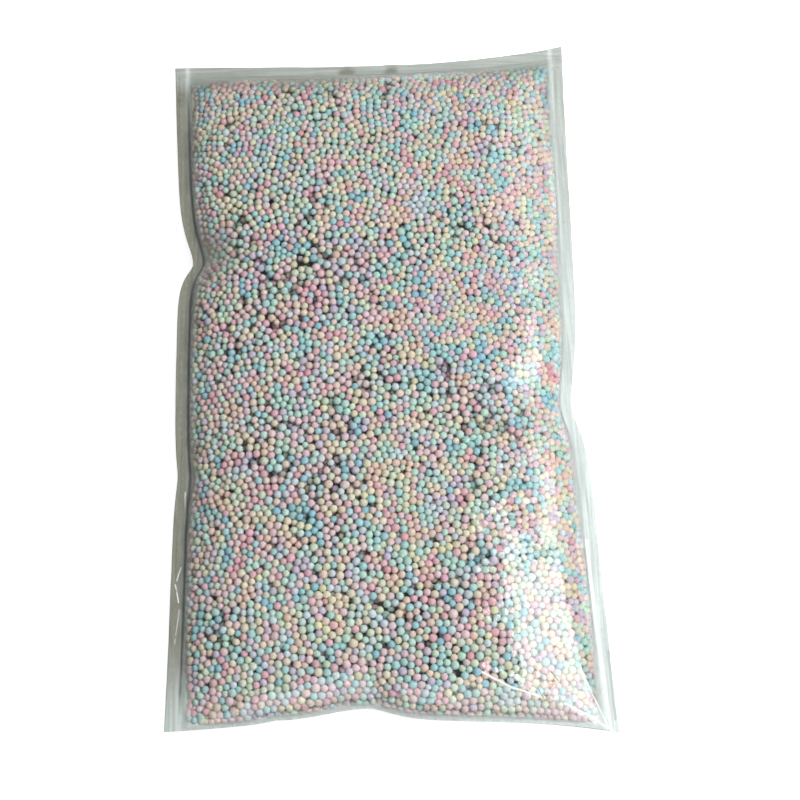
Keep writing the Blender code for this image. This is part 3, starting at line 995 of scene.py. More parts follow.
@dataclass
class FilmBag:
    """The bag of film: two outer skins, two inner ones, and the mouths of the two puckers."""

    form: BagForm
    finish: ClearFilm = ClearFilm(
        # Painted highlights along sharp folds and seam creases.
        painted_highlight_marks=(
            FilmMark(plan_path((32.7, -126.0), (42.8, -131.0), (52.5, -134.0)), 0.55 * MM, 0.9),
            FilmMark(plan_path((45.3, -129.9), (54.3, -134.8)), 0.4 * MM, 0.6),
            FilmMark(plan_path((61.4, -136.1), (71.6, -140.9), (78.4, -144.9)), 0.6 * MM, 0.95),
            FilmMark(plan_path((74.2, -73.7), (75.3, -107.0), (77.7, -144.0)), 0.85 * MM, 0.95),
            FilmMark(plan_path((68.5, -125.2), (71.4, -132.0), (77.0, -143.5)), 0.5 * MM, 0.6),
            FilmMark(plan_path((-73.4, -49.5), (-73.2, -62.2)), 0.35 * MM, 0.75),
            FilmMark(plan_path((-74.6, -79.0), (-76.7, -85.5), (-75.3, -92.5)), 0.35 * MM, 0.8),
            FilmMark(plan_path((-75.1, -95.1), (-76.8, -109.0)), 0.3 * MM, 0.5),
        ),
        # Painted shade along a few folds and along the right edge.
        painted_shade_marks=(
            FilmMark(plan_path((56.9, -125.6), (59.6, -128.9)), 0.35 * MM, 0.7),
            FilmMark(plan_path((51.9, -131.2), (54.3, -135.2)), 0.35 * MM, 0.6),
            FilmMark(plan_path((79.0, -116.0), (79.6, -141.0)), 0.6 * MM, 0.5),
        ),
    )
    flange_cells: int = 5
    seal_cells: int = 5
    inside_columns: int = 118
    inside_rows: int = 172
    crowding: float = 0.62
    puckers: Puckers = Puckers()
    mark_margin: float = 4.0 * MM
    flange_ripple: float = 0.35 * MM
    end_ripple_share: float = 0.3
    ripple_start: float = 1.5 * MM
    ripple_lengths: tuple[float, ...] = (41.0 * MM, 23.0 * MM, 13.0 * MM)
    left_phase: float = 0.4
    right_phase: float = 2.1
    end_phase: float = 1.3
    slack_height: float = 0.13 * MM
    slack_lengths: tuple[float, ...] = (47.0 * MM, 34.0 * MM, 25.0 * MM, 19.0 * MM, 15.0 * MM)
    slack_turn: float = 2.1
    slack_margin: float = 10.0 * MM
    seam_wrinkles: SeamWrinkles = SeamWrinkles()
    end_wrinkles: SeamWrinkles = SeamWrinkles(spacing=12.0 * MM, reach=7.0 * MM, height=0.4 * MM, seed=8)
    wrinkle_margin: float = 8.0 * MM
    flange_share: float = 0.35
    creases: tuple[Crease, ...] = (
        Crease(plan_path((31.5, -124.0), (44.0, -128.5), (58.0, -134.0), (70.0, -141.0), (79.0, -146.5)),
               0.6 * MM, 0.75 * MM, 9.0 * MM),
        Crease(plan_path((56.0, -133.0), (60.0, -128.0), (61.5, -123.0)), 0.45 * MM, 0.32 * MM),
        Crease(plan_path((62.0, -136.0), (66.5, -131.0)), 0.4 * MM, 0.3 * MM),
        Crease(plan_path((62.0, -88.0), (66.0, -112.0), (70.5, -134.0)), 6.0 * MM, 0.5 * MM, 0.6 * MM),
        Crease(plan_path((73.8, -70.0), (75.2, -92.0), (76.4, -118.0), (78.4, -143.0)),
               0.5 * MM, 0.5 * MM),
        Crease(plan_path((-73.6, -44.0), (-75.4, -56.0), (-74.4, -68.0)), 0.5 * MM, 0.4 * MM),
        Crease(plan_path((-75.0, -74.0), (-76.3, -96.0)), 0.55 * MM, 0.45 * MM),
    )
    across: np.ndarray = field(init=False, repr=False)
    along: np.ndarray = field(init=False, repr=False)

    def __post_init__(self) -> None:
        """Works out the places of the mesh lines on the flat sheet."""
        form = self.form
        self.across = self.stations(form.width, form.side_seam, form.side_seam,
                                    self.flange_cells, self.flange_cells, self.inside_columns)
        self.along = self.stations(form.length, form.fold, form.top_seal,
                                   1, self.seal_cells, self.inside_rows)

    def stations(self, length: float, first: float, last: float,
                 first_cells: int, last_cells: int, inside_cells: int) -> np.ndarray:
        """Returns the places of mesh lines, which crowd towards the seams.

        Args:
            length: the sheet's size in this direction.
            first: the margin before the first seam line.
            last: the margin after the last seam line.
            first_cells: how many cells the first margin has.
            last_cells: how many cells the last margin has.
            inside_cells: how many cells lie between the seam lines.

        Returns:
            Places from 0 to the length.
        """
        even = np.linspace(0.0, 1.0, inside_cells + 1)
        crowded = 0.5 - 0.5 * np.cos(math.pi * even)
        inside = first + (length - first - last) * (even + self.crowding * (crowded - even))
        before = np.linspace(0.0, first, first_cells + 1)[:-1]
        after = np.linspace(length - last, length, last_cells + 1)[1:]
        return np.concatenate([before, inside, after])

    def ripple(self, across: np.ndarray, along: np.ndarray) -> np.ndarray:
        """Returns how the loose flanges and the seal band wave up and down together."""
        from_side, from_end = self.form.inward(across, along)
        loose_side = smooth_step(-from_side, -self.ripple_start, self.form.side_seam)
        loose_end = smooth_step(-from_end, -self.ripple_start, self.form.top_seal)
        loose_end = self.end_ripple_share * loose_end
        wave_along = np.zeros_like(across)
        wave_across = np.zeros_like(across)
        for number, length in enumerate(self.ripple_lengths, start=1):
            turn = 2.0 * math.pi / length
            phase = np.where(across > self.form.width / 2.0, self.right_phase, self.left_phase) * number
            wave_along = wave_along + np.sin(turn * along + phase) / number
            wave_across = wave_across + np.sin(turn * across + self.end_phase * number) / number
        return self.flange_ripple * (loose_side * wave_along + loose_end * wave_across)

    def slack(self, x: np.ndarray, y: np.ndarray, from_side: np.ndarray,
              from_end: np.ndarray) -> np.ndarray:
        """Returns how far the upper film stands off its beads in long, low, crossing waves."""
        rise = np.zeros_like(x)
        for number, length in enumerate(self.slack_lengths):
            turn = self.slack_turn * number
            run = x * math.cos(turn) + y * math.sin(turn)
            rise = rise + self.slack_height * (1.0 + np.sin(2.0 * math.pi * run / length + turn)) / 2.0
        margin = self.slack_margin
        return rise * (smooth_step(from_side, 0.0, margin) * smooth_step(from_end, 0.0, margin))

    def outer_skins(self) -> tuple[np.ndarray, np.ndarray]:
        """Returns the upper and the lower outer skin as grids of points."""
        form = self.form
        across, along = np.meshgrid(self.across, self.along)
        x, y, upper, lower = form.skins(across, along)
        from_side, from_end = form.inward(across, along)
        seal_line = form.length - form.top_seal
        wave = self.ripple(across, along)
        apart = self.puckers.gap(x, along, seal_line) / 2.0
        raised = self.seam_wrinkles.rise(along, from_side, form.length)
        raised = raised * smooth_step(from_end, 0.0, self.wrinkle_margin)
        near_ends = self.end_wrinkles.rise(across, from_end, form.width)
        raised = raised + near_ends * smooth_step(from_side, 0.0, self.wrinkle_margin)
        raised = raised + self.slack(x, y, from_side, from_end)
        for crease in self.creases:
            raised = raised + crease.rise(x, y)
        raised = np.where((from_side < 0.0) | (along > seal_line), self.flange_share * raised, raised)
        upper = upper + wave + apart + raised
        lower = np.maximum(0.0, lower + wave - apart)
        return np.stack([x, y, upper], axis=-1), np.stack([x, y, lower], axis=-1)

    @staticmethod
    def grid_normals(grid: np.ndarray) -> np.ndarray:
        """Returns a grid's unit normals, which point up."""
        by_row, by_column = np.gradient(grid, axis=(0, 1))
        return unit(np.cross(by_column, by_row))

    def hollow_cells(self) -> np.ndarray:
        """Tells for each cell of the sheet whether the skins are apart there."""
        middle_across = (self.across[:-1] + self.across[1:]) / 2.0
        middle_along = (self.along[:-1] + self.along[1:]) / 2.0
        form = self.form
        columns = (middle_across > form.side_seam) & (middle_across < form.width - form.side_seam)
        rows = (middle_along > form.fold) & (middle_along < form.length - form.top_seal)
        hollow = rows[:, None] & columns[None, :]
        for place in self.puckers.places:
            mouth = np.abs(middle_across - form.width / 2.0 - place) < self.puckers.width / 2.0
            hollow[-self.seal_cells:, mouth] = True
        return hollow

    def inner_skins(self, upper: np.ndarray, lower: np.ndarray) -> tuple[np.ndarray, np.ndarray]:
        """Returns the inner skins, one film thickness inside the outer ones."""
        from_side, from_end = self.form.inward(*np.meshgrid(self.across, self.along))
        sealed = ((from_side <= 0.0) | (from_end <= 0.0))[..., None]
        straight = np.zeros_like(upper)
        straight[..., 2] = 1.0
        thickness = self.form.film
        down = np.where(sealed, straight, self.grid_normals(upper))
        up = np.where(sealed, straight, self.grid_normals(lower))
        return upper - thickness * down, lower + thickness * up

    def near_marks(self, x: np.ndarray, y: np.ndarray) -> np.ndarray:
        """Returns 1 near the marks of sharp folds and 0 elsewhere, where none has to be worked out."""
        near = np.zeros(x.shape)
        for mark in self.finish.painted_highlight_marks + self.finish.painted_shade_marks:
            distance, _ = path_distance(mark.path, x, y)
            near = np.where(distance < self.mark_margin, 1.0, near)
        return near

    def build(self) -> bpy.types.Object:
        """Builds the closed mesh of the film and returns its dressed object."""
        upper, lower = self.outer_skins()
        inner_upper, inner_lower = self.inner_skins(upper, lower)
        hollow = self.hollow_cells()
        rows, columns = upper.shape[:2]

        # A grid point is open if every cell round it is hollow. Elsewhere the inner skins meet.
        around = np.ones((rows + 1, columns + 1), bool)
        around[1:-1, 1:-1] = hollow
        around[0, :] = around[:, 0] = around[:, -1] = False
        is_open = around[:-1, :-1] & around[:-1, 1:] & around[1:, :-1] & around[1:, 1:]
        touched = np.zeros((rows, columns), bool)
        for row_step, column_step in itertools.product((0, 1), repeat=2):
            touched[row_step:rows - 1 + row_step, column_step:columns - 1 + column_step] |= hollow

        size = rows * columns
        outer_top = np.arange(size).reshape(rows, columns)
        outer_low = outer_top + size
        inner_top = np.full((rows, columns), -1)
        inner_top[touched] = 2 * size + np.arange(touched.sum())
        inner_low = inner_top.copy()
        inner_low[is_open] = 2 * size + touched.sum() + np.arange(is_open.sum())
        middle = (upper + lower) / 2.0
        ceiling = np.where(is_open[..., None], inner_upper, middle)
        points = np.concatenate([
            upper.reshape(-1, 3), lower.reshape(-1, 3), ceiling[touched], inner_lower[is_open],
        ])

        everywhere = np.ones_like(hollow)
        faces = self.grid_faces(outer_top, everywhere, turned=False)
        faces += self.grid_faces(outer_low, everywhere, turned=True)
        faces += self.grid_faces(inner_top, hollow, turned=True)
        faces += self.grid_faces(inner_low, hollow, turned=False)
        faces += self.cut_edges(outer_top, outer_low, inner_top, inner_low, hollow)

        piece = make_piece("bag_film", points, faces, self.finish.material())
        plan = HazePlan(self.form, self.puckers)
        flat = np.meshgrid(self.across, self.along)
        looks = {
            "haze": plan.haze(*flat),
            # The cloud's painted light and shade.
            "painted_light_side": plan.painted_light_and_shade(*flat),
            "near_mark": self.near_marks(upper[..., 0], upper[..., 1]),
        }
        for name, values in looks.items():
            store(piece.data, name, np.concatenate([
                values.ravel(), values.ravel(), values[touched], values[is_open],
            ]))
        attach(piece, BODY)
        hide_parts("film_bag")
        return piece

    @staticmethod
    def grid_faces(numbers: np.ndarray, chosen: np.ndarray, turned: bool) -> list:
        """Returns a quad for each chosen cell of a grid of vertex numbers, facing up unless turned."""
        corners = [numbers[:-1, :-1], numbers[:-1, 1:], numbers[1:, 1:], numbers[1:, :-1]]
        if turned:
            corners.reverse()
        return np.stack([corner[chosen] for corner in corners], axis=-1).tolist()

    @staticmethod
    def cut_edges(outer_top: np.ndarray, outer_low: np.ndarray, inner_top: np.ndarray,
                  inner_low: np.ndarray, hollow: np.ndarray) -> list:
        """Returns the faces of the sheet's cut edges, with the lips of the pucker mouths.

        Args:
            outer_top: vertex numbers of the upper outer skin.
            outer_low: vertex numbers of the lower outer skin.
            inner_top: vertex numbers of the upper inner skin.
            inner_low: vertex numbers of the lower inner skin.
            hollow: whether each cell is hollow.

        Returns:
            Lists of vertex numbers.
        """
        faces = []
        for row in range(outer_top.shape[0] - 1):
            left = [outer_top[row, 0], outer_top[row + 1, 0], outer_low[row + 1, 0], outer_low[row, 0]]
            right = [outer_low[row, -1], outer_low[row + 1, -1],
                     outer_top[row + 1, -1], outer_top[row, -1]]
            faces += [left, right]
        mouth = hollow[-1]
        last = len(mouth) - 1
        for column in range(last + 1):
            near, far = column, column + 1
            faces.append([outer_low[0, near], outer_low[0, far], outer_top[0, far], outer_top[0, near]])
            if mouth[column]:
                for upper, lower in ((outer_top, inner_top), (inner_low, outer_low)):
                    faces.append([upper[-1, near], upper[-1, far], lower[-1, far], lower[-1, near]])
                continue
            wall = [outer_top[-1, near], outer_top[-1, far]]
            if column < last and mouth[column + 1]:
                wall.append(inner_top[-1, far])
            wall += [outer_low[-1, far], outer_low[-1, near]]
            if column > 0 and mouth[column - 1]:
                wall.append(inner_top[-1, near])
            faces.append(wall)
        return [[int(number) for number in face] for face in faces]


def close_pairs(centres: np.ndarray, reach: float) -> tuple[np.ndarray, np.ndarray]:
    """Finds every pair of points that lie within a reach of each other.

    Args:
        centres: the points.
        reach: the greatest distance of a pair.

    Returns:
        The numbers of the first and of the second point of each pair.
    """
    cells = np.floor((centres - centres.min(axis=0)) / reach).astype(np.int64) + 1
    spans = cells.max(axis=0) + 2
    keys = (cells[:, 0] * spans[1] + cells[:, 1]) * spans[2] + cells[:, 2]
    order = np.argsort(keys, kind="stable")
    ordered = keys[order]
    firsts, seconds = [], []
    for step in itertools.product((-1, 0, 1), repeat=3):
        if step < (0, 0, 0):
            continue
        wanted = keys + (step[0] * spans[1] + step[1]) * spans[2] + step[2]
        start = np.searchsorted(ordered, wanted, "left")
        counts = np.searchsorted(ordered, wanted, "right") - start
        one = np.repeat(np.arange(len(keys)), counts)
        within = np.arange(counts.sum()) - np.repeat(np.cumsum(counts) - counts, counts)
        two = order[np.repeat(start, counts) + within]
        if step == (0, 0, 0):
            one, two = one[one < two], two[one < two]
        firsts.append(one)
        seconds.append(two)
    one, two = np.concatenate(firsts), np.concatenate(seconds)
    near = ((centres[one] - centres[two]) ** 2).sum(axis=1) < reach ** 2
    return one[near], two[near]


@dataclass
class BeadLayer:
    """Loose beads against the inside of the film, or against the beads before them."""

    form: BagForm
    across: np.ndarray
    along: np.ndarray
    side: np.ndarray
    radii: np.ndarray
    depth: np.ndarray
    centres: np.ndarray = field(init=False, repr=False)
    seam_gap: float = 0.3 * MM
    thin_margin: float = 0.2 * MM
    longest_step: float = 1.0 * MM
    pace: float = 0.6

    def __post_init__(self) -> None:
        """Places the beads for the first time."""
        self.settle()

    def settle(self) -> tuple[np.ndarray, np.ndarray, np.ndarray]:
        """Places every centre at its depth under the film, and returns the film's local frame."""
        point, tangent_across, tangent_along, normal = self.form.local_frame(
            self.across, self.along, self.side)
        self.centres = point - normal * self.depth[:, None]
        return tangent_across, tangent_along, normal

    def move(self, pushes: np.ndarray, deepen: bool) -> None:
        """Slides the beads along the film by the part of each push that lies in it.

        Args:
            pushes: how far each bead is pushed, in space.
            deepen: whether the rest of a push changes the bead's depth.
        """
        tangent_across, tangent_along, normal = self.settle()
        aa = (tangent_across ** 2).sum(axis=1)
        bb = (tangent_along ** 2).sum(axis=1)
        ab = (tangent_across * tangent_along).sum(axis=1)
        pa = (pushes * tangent_across).sum(axis=1)
        pb = (pushes * tangent_along).sum(axis=1)
        spread = aa * bb - ab ** 2
        self.across = self.across + (pa * bb - pb * ab) / spread
        self.along = self.along + (pb * aa - pa * ab) / spread
        if deepen:
            self.depth = self.depth - (pushes * normal).sum(axis=1)
        self.keep_inside()
        self.settle()

    def keep_inside(self) -> None:
        """Keeps the beads between the seams, and out of corners that are too thin for them."""
        form = self.form
        edge = self.seam_gap
        low_x, high_x = form.side_seam + edge, form.width - form.side_seam - edge
        self.across = np.clip(self.across, low_x, high_x)
        low_y, high_y = form.fold + edge, form.bead_limit(self.across)
        self.along = np.clip(self.along, low_y, high_y)
        point = form.surface(self.across, self.along, self.side)
        inner_across = np.clip(self.across + self.centres[:, 0] - point[:, 0], low_x, high_x)
        inner_along = np.clip(self.along + self.centres[:, 1] - point[:, 1], low_y, high_y)
        _, _, upper, lower = form.skins(inner_across, inner_along)
        lack = 2.0 * self.radii + self.thin_margin - (upper - lower)
        lack = np.clip(lack, 0.0, self.longest_step)
        towards_x = np.sign(form.width / 2.0 - self.across)
        towards_y = np.sign(form.length / 2.0 - self.along)
        self.across = self.across + self.pace * lack * towards_x
        self.along = self.along + self.pace * lack * towards_y


@dataclass
class BeadPacking:
    """Packs beads of mixed sizes under both skins, and a second layer under the upper one."""

    form: BagForm
    mean_radius: float = 1.43 * MM
    radius_spread: float = 0.12 * MM
    smallest: float = 1.1 * MM
    largest: float = 1.85 * MM
    clearance: float = 0.16 * MM
    looseness: float = 0.28 * MM
    fullness: float = 0.82
    under_fullness: float = 0.78
    deep_gap: float = 2.2 * MM
    sweeps: int = 220
    deep_sweeps: int = 90
    refresh: int = 6
    stiffness: float = 0.34
    first_size: float = 0.55
    growth: float = 0.45
    growth_pace: float = 1.6
    look_ahead: float = 0.6 * MM
    drift: float = 0.03 * MM
    deepest: float = 5.0 * MM
    deep_start: float = 1.2 * MM
    room_for_two: float = 6.0
    area_cells: tuple[int, int] = (300, 560)
    steepest: float = 4.0
    jitter_mm: float = 0.25
    clearing_steps: int = 4
    seed: int = 20

    def film_area(self, side: Skin) -> tuple[np.ndarray, np.ndarray, np.ndarray]:
        """Returns the middle and the area of each cell of a fine grid on one skin."""
        form = self.form
        cells_x, cells_y = self.area_cells
        clear_width = form.width - 2.0 * form.side_seam
        across = form.side_seam + clear_width * (np.arange(cells_x) + 0.5) / cells_x
        inside = form.length - form.top_seal - form.fold
        along = form.fold + inside * (np.arange(cells_y) + 0.5) / cells_y
        across, along = (grid.ravel() for grid in np.meshgrid(across, along))
        signs = np.full(across.shape, side.value)
        _, tangent_across, tangent_along, _ = form.local_frame(across, along, signs)
        cell = clear_width / cells_x * inside / cells_y
        stretched = np.linalg.norm(np.cross(tangent_across, tangent_along), axis=1)
        area = np.minimum(stretched, self.steepest) * cell
        return across, along, np.where(along < form.bead_limit(across), area, 0.0)

    def draw(self, side: Skin, fullness: float, rng: np.random.Generator) -> tuple[np.ndarray, ...]:
        """Draws beads at random under one skin, as many as fill it.

        Args:
            side: the skin.
            fullness: the share of the film that the beads' outlines cover.
            rng: the source of random numbers.

        Returns:
            Places across and along, and radii.
        """
        across, along, area = self.film_area(side)
        mean_square = self.mean_radius ** 2 + self.radius_spread ** 2
        count = int(fullness * area.sum() / (math.pi * mean_square))
        chosen = rng.choice(len(area), size=count, p=area / area.sum(), replace=False)
        radii = rng.normal(self.mean_radius, self.radius_spread, count)
        jitter = rng.uniform(-self.jitter_mm, self.jitter_mm, (2, count)) * MM
        radii = np.clip(radii, self.smallest, self.largest)
        return across[chosen] + jitter[0], along[chosen] + jitter[1], radii

    def relax(self, layer: BeadLayer, fixed: np.ndarray, fixed_radii: np.ndarray,
              sweeps: int, deepen: bool) -> None:
        """Pushes overlapping beads apart, sweep by sweep, while they grow to their full size.

        Args:
            layer: the beads that move.
            fixed: centres of beads that stay.
            fixed_radii: their radii.
            sweeps: how many times every overlap is eased.
            deepen: whether the beads may be pushed deeper, and drift back towards the film.
        """
        count = len(layer.radii)
        radii = np.concatenate([layer.radii, fixed_radii])
        least = layer.radii + self.deep_gap
        for sweep in range(sweeps):
            grown = self.first_size + self.growth * min(1.0, self.growth_pace * (sweep + 1) / sweeps)
            centres = np.concatenate([layer.centres, fixed])
            if sweep % self.refresh == 0:
                one, two = close_pairs(centres, 2.0 * self.largest + self.look_ahead)
                moving = (one < count) | (two < count)
                one, two = one[moving], two[moving]
            apart = centres[one] - centres[two]
            distance = np.maximum(np.linalg.norm(apart, axis=1), 1e-9)
            overlap = (radii[one] + radii[two]) * grown - distance
            hit = overlap > 0.0
            first, second = one[hit], two[hit]
            push = apart[hit] / distance[hit, None] * (self.stiffness * overlap[hit, None])
            pushes = np.stack([
                np.bincount(first, part, len(radii)) - np.bincount(second, part, len(radii))
                for part in push.T
            ], axis=1)
            layer.move(pushes[:count], deepen)
            if deepen:
                layer.depth = np.clip(layer.depth - self.drift, least, least + self.deepest)
                layer.settle()

    def pack(self, bag: bpy.types.Object) -> tuple[BeadLayer, BeadLayer]:
        """Packs all the beads.

        Args:
            bag: the film, which no bead may pass.

        Returns:
            The beads against the film, and the beads under those of the upper skin.
        """
        rng = np.random.default_rng(self.seed)
        top = self.draw(Skin.UPPER, self.fullness, rng)
        low = self.draw(Skin.LOWER, self.under_fullness, rng)
        across, along, radii = (np.concatenate(pair) for pair in zip(top, low))
        side = np.concatenate([np.ones(len(top[0])), -np.ones(len(low[0]))])
        depth = radii + self.form.film + self.clearance + rng.exponential(self.looseness, len(radii))
        first = BeadLayer(self.form, across, along, side, radii, depth)
        nothing = np.zeros((0, 3))
        self.relax(first, nothing, np.zeros(0), self.sweeps, deepen=False)
        self.clear_film(first, bag)

        across, along, radii = self.draw(Skin.UPPER, self.fullness, rng)
        _, _, upper, lower = self.form.skins(across, along)
        roomy = upper - lower > self.room_for_two * self.mean_radius
        across, along, radii = across[roomy], along[roomy], radii[roomy]
        depth = radii + self.deep_gap + self.deep_start
        second = BeadLayer(self.form, across, along, np.ones(len(radii)), radii, depth)
        self.relax(second, first.centres, first.radii, self.deep_sweeps, deepen=True)
        self.clear_film(second, bag)
        return first, second

    def clear_film(self, layer: BeadLayer, bag: bpy.types.Object) -> None:
        """Moves any bead that is too close to the film inwards, until it is clear of it."""
        mesh = bag.data
        corners = [vertex.co for vertex in mesh.vertices]
        tree = BVHTree.FromPolygons(corners, [tuple(face.vertices) for face in mesh.polygons])
        needed = self.clearance / 2.0
        for number, (centre, radius) in enumerate(zip(layer.centres, layer.radii)):
            place = Vector(centre)
            for _ in range(self.clearing_steps):
                near, _, _, distance = tree.find_nearest(place)
                lack = radius + needed - distance
                if lack <= 0.0:
                    break
                place = place + (place - near).normalized() * lack
            layer.centres[number] = place


@dataclass
class BeadMix:
    """Colours the beads: mostly at random, with small clusters of one dye where they were poured."""

    clusters_per_bead: float = 0.09
    clustered_share: float = 0.34
    brightness_spread: float = 0.05
    tint_spread: float = 0.025
    fading: float = 0.03
    brightest: float = 0.95
    batch: int = 1000
    seed: int = 31

    def colours(self, centres: np.ndarray) -> np.ndarray:
        """Returns a linear colour for each bead.

        Args:
            centres: the beads' centres.

        Returns:
            Red, green, blue and alpha for each bead.
        """
        rng = np.random.default_rng(self.seed)
        palette = np.array([dye.colour for dye in Dye])
        shares = np.array([dye.share for dye in Dye])
        shares = shares / shares.sum()
        count = len(centres)
        own = rng.choice(len(palette), size=count, p=shares)
        middles = rng.choice(count, size=int(self.clusters_per_bead * count), replace=False)
        dyes = rng.choice(len(palette), size=len(middles), p=shares)
        nearest = np.empty(count, int)
        for start in range(0, count, self.batch):
            part = slice(start, start + self.batch)
            gaps = ((centres[part, None] - centres[middles][None]) ** 2).sum(axis=2)
            nearest[part] = gaps.argmin(axis=1)
        clustered = rng.random(count) < self.clustered_share
        chosen = np.where(clustered, dyes[nearest], own)
        colours = palette[chosen]
        grey = colours[:, :3].mean(axis=1, keepdims=True)
        colours[:, :3] += self.fading * (grey - colours[:, :3])
        colours[:, :3] *= rng.normal(1.0, self.brightness_spread, (count, 1))
        colours[:, :3] *= rng.normal(1.0, self.tint_spread, (count, 3))
        return np.clip(colours, 0.0, self.brightest)


@dataclass
class BeadFill:
    """The loose beads, each one its own closed ball, and the deeper mass that they lie on."""

    form: BagForm
    packing: BeadPacking
    mix: BeadMix = field(default_factory=BeadMix)
    finish: FoamBead = FoamBead()
    near_segments: int = 8
    near_rings: int = 5
    far_segments: int = 6
    far_rings: int = 4
    corner_allowance: float = 1.05
    core_inset: float = 8.0 * MM
    core_below_top: float = 5.6 * MM
    core_above_low: float = 3.6 * MM
    core_spacing: float = 2.1 * MM
    core_jitter: float = 0.5 * MM
    core_thinnest: float = 0.4 * MM
    core_seed: int = 3
    # Painted shade: the second layer's dyes and the deeper mass's dyes are darkened by these factors.
    second_layer_painted_shade: float = 0.64
    core_painted_shade: float = 0.22

    def scatter_tree(self) -> bpy.types.NodeTree:
        """Builds the node tree that puts a ball on every point, at its radius and a random turn."""
        tree = new_node_group("bead_scatter", (
            ("Segments", "Int"), ("Rings", "Int"), ("Size", "Float"), ("Seed", "Int"),
            ("Finish", "Material"),
        ))
        given = add_node(tree, "NodeGroupInput").outputs
        ball = add_node(tree, "GeometryNodeMeshUVSphere", {
            "Segments": given["Segments"], "Rings": given["Rings"], "Radius": given["Size"],
        })
        radius = add_node(tree, "GeometryNodeInputNamedAttribute", {"Name": "radius"}, data_type="FLOAT")
        turn = add_node(tree, "FunctionNodeRandomValue", {
            0: (0.0, 0.0, 0.0), 1: (2.0 * math.pi,) * 3, "Seed": given["Seed"],
        }, data_type="FLOAT_VECTOR")
        placed = add_node(tree, "GeometryNodeInstanceOnPoints", {
            "Points": given["Geometry"], "Instance": ball.outputs["Mesh"],
            "Rotation": turn.outputs[0], "Scale": radius.outputs[0],
        })
        end_node_group(tree, placed.outputs[0], given["Finish"])
        return tree

    def scatter(self, name: str, tree: bpy.types.NodeTree, centres: np.ndarray, radii: np.ndarray,
                colours: np.ndarray, segments: int, rings: int,
                material: bpy.types.Material) -> bpy.types.Object:
        """Makes one piece of beads.

        Args:
            name: the piece's name.
            tree: the scattering node tree.
            centres: the beads' centres.
            radii: their radii.
            colours: their colours.
            segments: sides of each ball round its axis.
            rings: bands of each ball from pole to pole.
            material: the beads' finish.

        Returns:
            The piece, as a plain mesh.
        """
        mesh = bpy.data.meshes.new(f"{name}_centres")
        mesh.from_pydata(centres.tolist(), [], [])
        store(mesh, "radius", radii)
        store(mesh, "dye", colours)
        return grow_piece(name, mesh, tree, {
            "Segments": segments, "Rings": rings, "Size": self.corner_allowance,
            "Seed": self.mix.seed, "Finish": material,
        })

    def build(self, bag: bpy.types.Object) -> list[bpy.types.Object]:
        """Packs, colours and makes all the beads, and returns their pieces.

        Args:
            bag: the film that holds them.
        """
        against, deeper = self.packing.pack(bag)
        material = self.finish.material()
        tree = self.scatter_tree()
        centres = np.concatenate([against.centres, deeper.centres])
        radii = np.concatenate([against.radii, deeper.radii])
        colours = self.mix.colours(centres)
        count = len(against.radii)
        # Painted shade on the second layer's dyes.
        colours[count:, :3] *= self.second_layer_painted_shade
        is_against = np.arange(len(radii)) < count
        is_upper = np.zeros(len(radii), bool)
        is_upper[:count] = against.side > 0
        is_left = centres[:, 0] < np.median(centres[:count, 0])
        groups = (
            ("beads_upper_left", is_upper & is_left, self.near_segments, self.near_rings),
            ("beads_upper_right", is_upper & ~is_left, self.near_segments, self.near_rings),
            ("beads_underside", is_against & ~is_upper, self.far_segments, self.far_rings),
            ("beads_second_layer", ~is_against, self.far_segments, self.far_rings),
        )
        pieces = []
        for name, chosen, segments, rings in groups:
            pieces.append(self.scatter(name, tree, centres[chosen], radii[chosen], colours[chosen],
                                       segments, rings, material))
            log.info("%s: %d beads, %d triangles", name, chosen.sum(), count_triangles(pieces[-1].data))
        pieces.append(self.core(material))
        for piece in pieces:
            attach(piece, BODY)
            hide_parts("bead_fill")
        return pieces

    def core(self, material: bpy.types.Material) -> bpy.types.Object:
        """Makes the deeper mass of beads, in painted shade, which shows only as dark colour between the
        others.
        """
        form = self.form
        rng = np.random.default_rng(self.core_seed)
        inset_x = form.side_seam + self.core_inset
        inset_y = form.top_seal + self.core_inset
        columns = int((form.width - 2.0 * inset_x) / self.core_spacing)
        rows = int((form.length - 2.0 * inset_y) / self.core_spacing)
        across, along = np.meshgrid(np.linspace(inset_x, form.width - inset_x, columns),
                                    np.linspace(inset_y, form.length - inset_y, rows))
        x, y, upper, lower = form.skins(across, along)
        ceiling = upper - self.core_below_top + rng.normal(0.0, self.core_jitter, x.shape)
        ground = lower + self.core_above_low + rng.normal(0.0, self.core_jitter, x.shape)
        ceiling = np.maximum(ceiling, ground + self.core_thinnest)
        points = np.concatenate([
            np.stack([x, y, level], axis=-1).reshape(-1, 3) for level in (ceiling, ground)
        ])
        top = np.arange(rows * columns).reshape(rows, columns)
        low = top + rows * columns
        everywhere = np.ones((rows - 1, columns - 1), bool)
        faces = FilmBag.grid_faces(top, everywhere, turned=False)
        faces += FilmBag.grid_faces(low, everywhere, turned=True)
        faces += FilmBag.cut_edges(top, low, top, low, np.zeros_like(everywhere))
        piece = make_piece("beads_deep_in_painted_shade", points, faces, material)
        # The deeper mass's dyes, darkened as painted shade.
        store(piece.data, "dye", self.mix.colours(points) * self.core_painted_shade)
        return piece


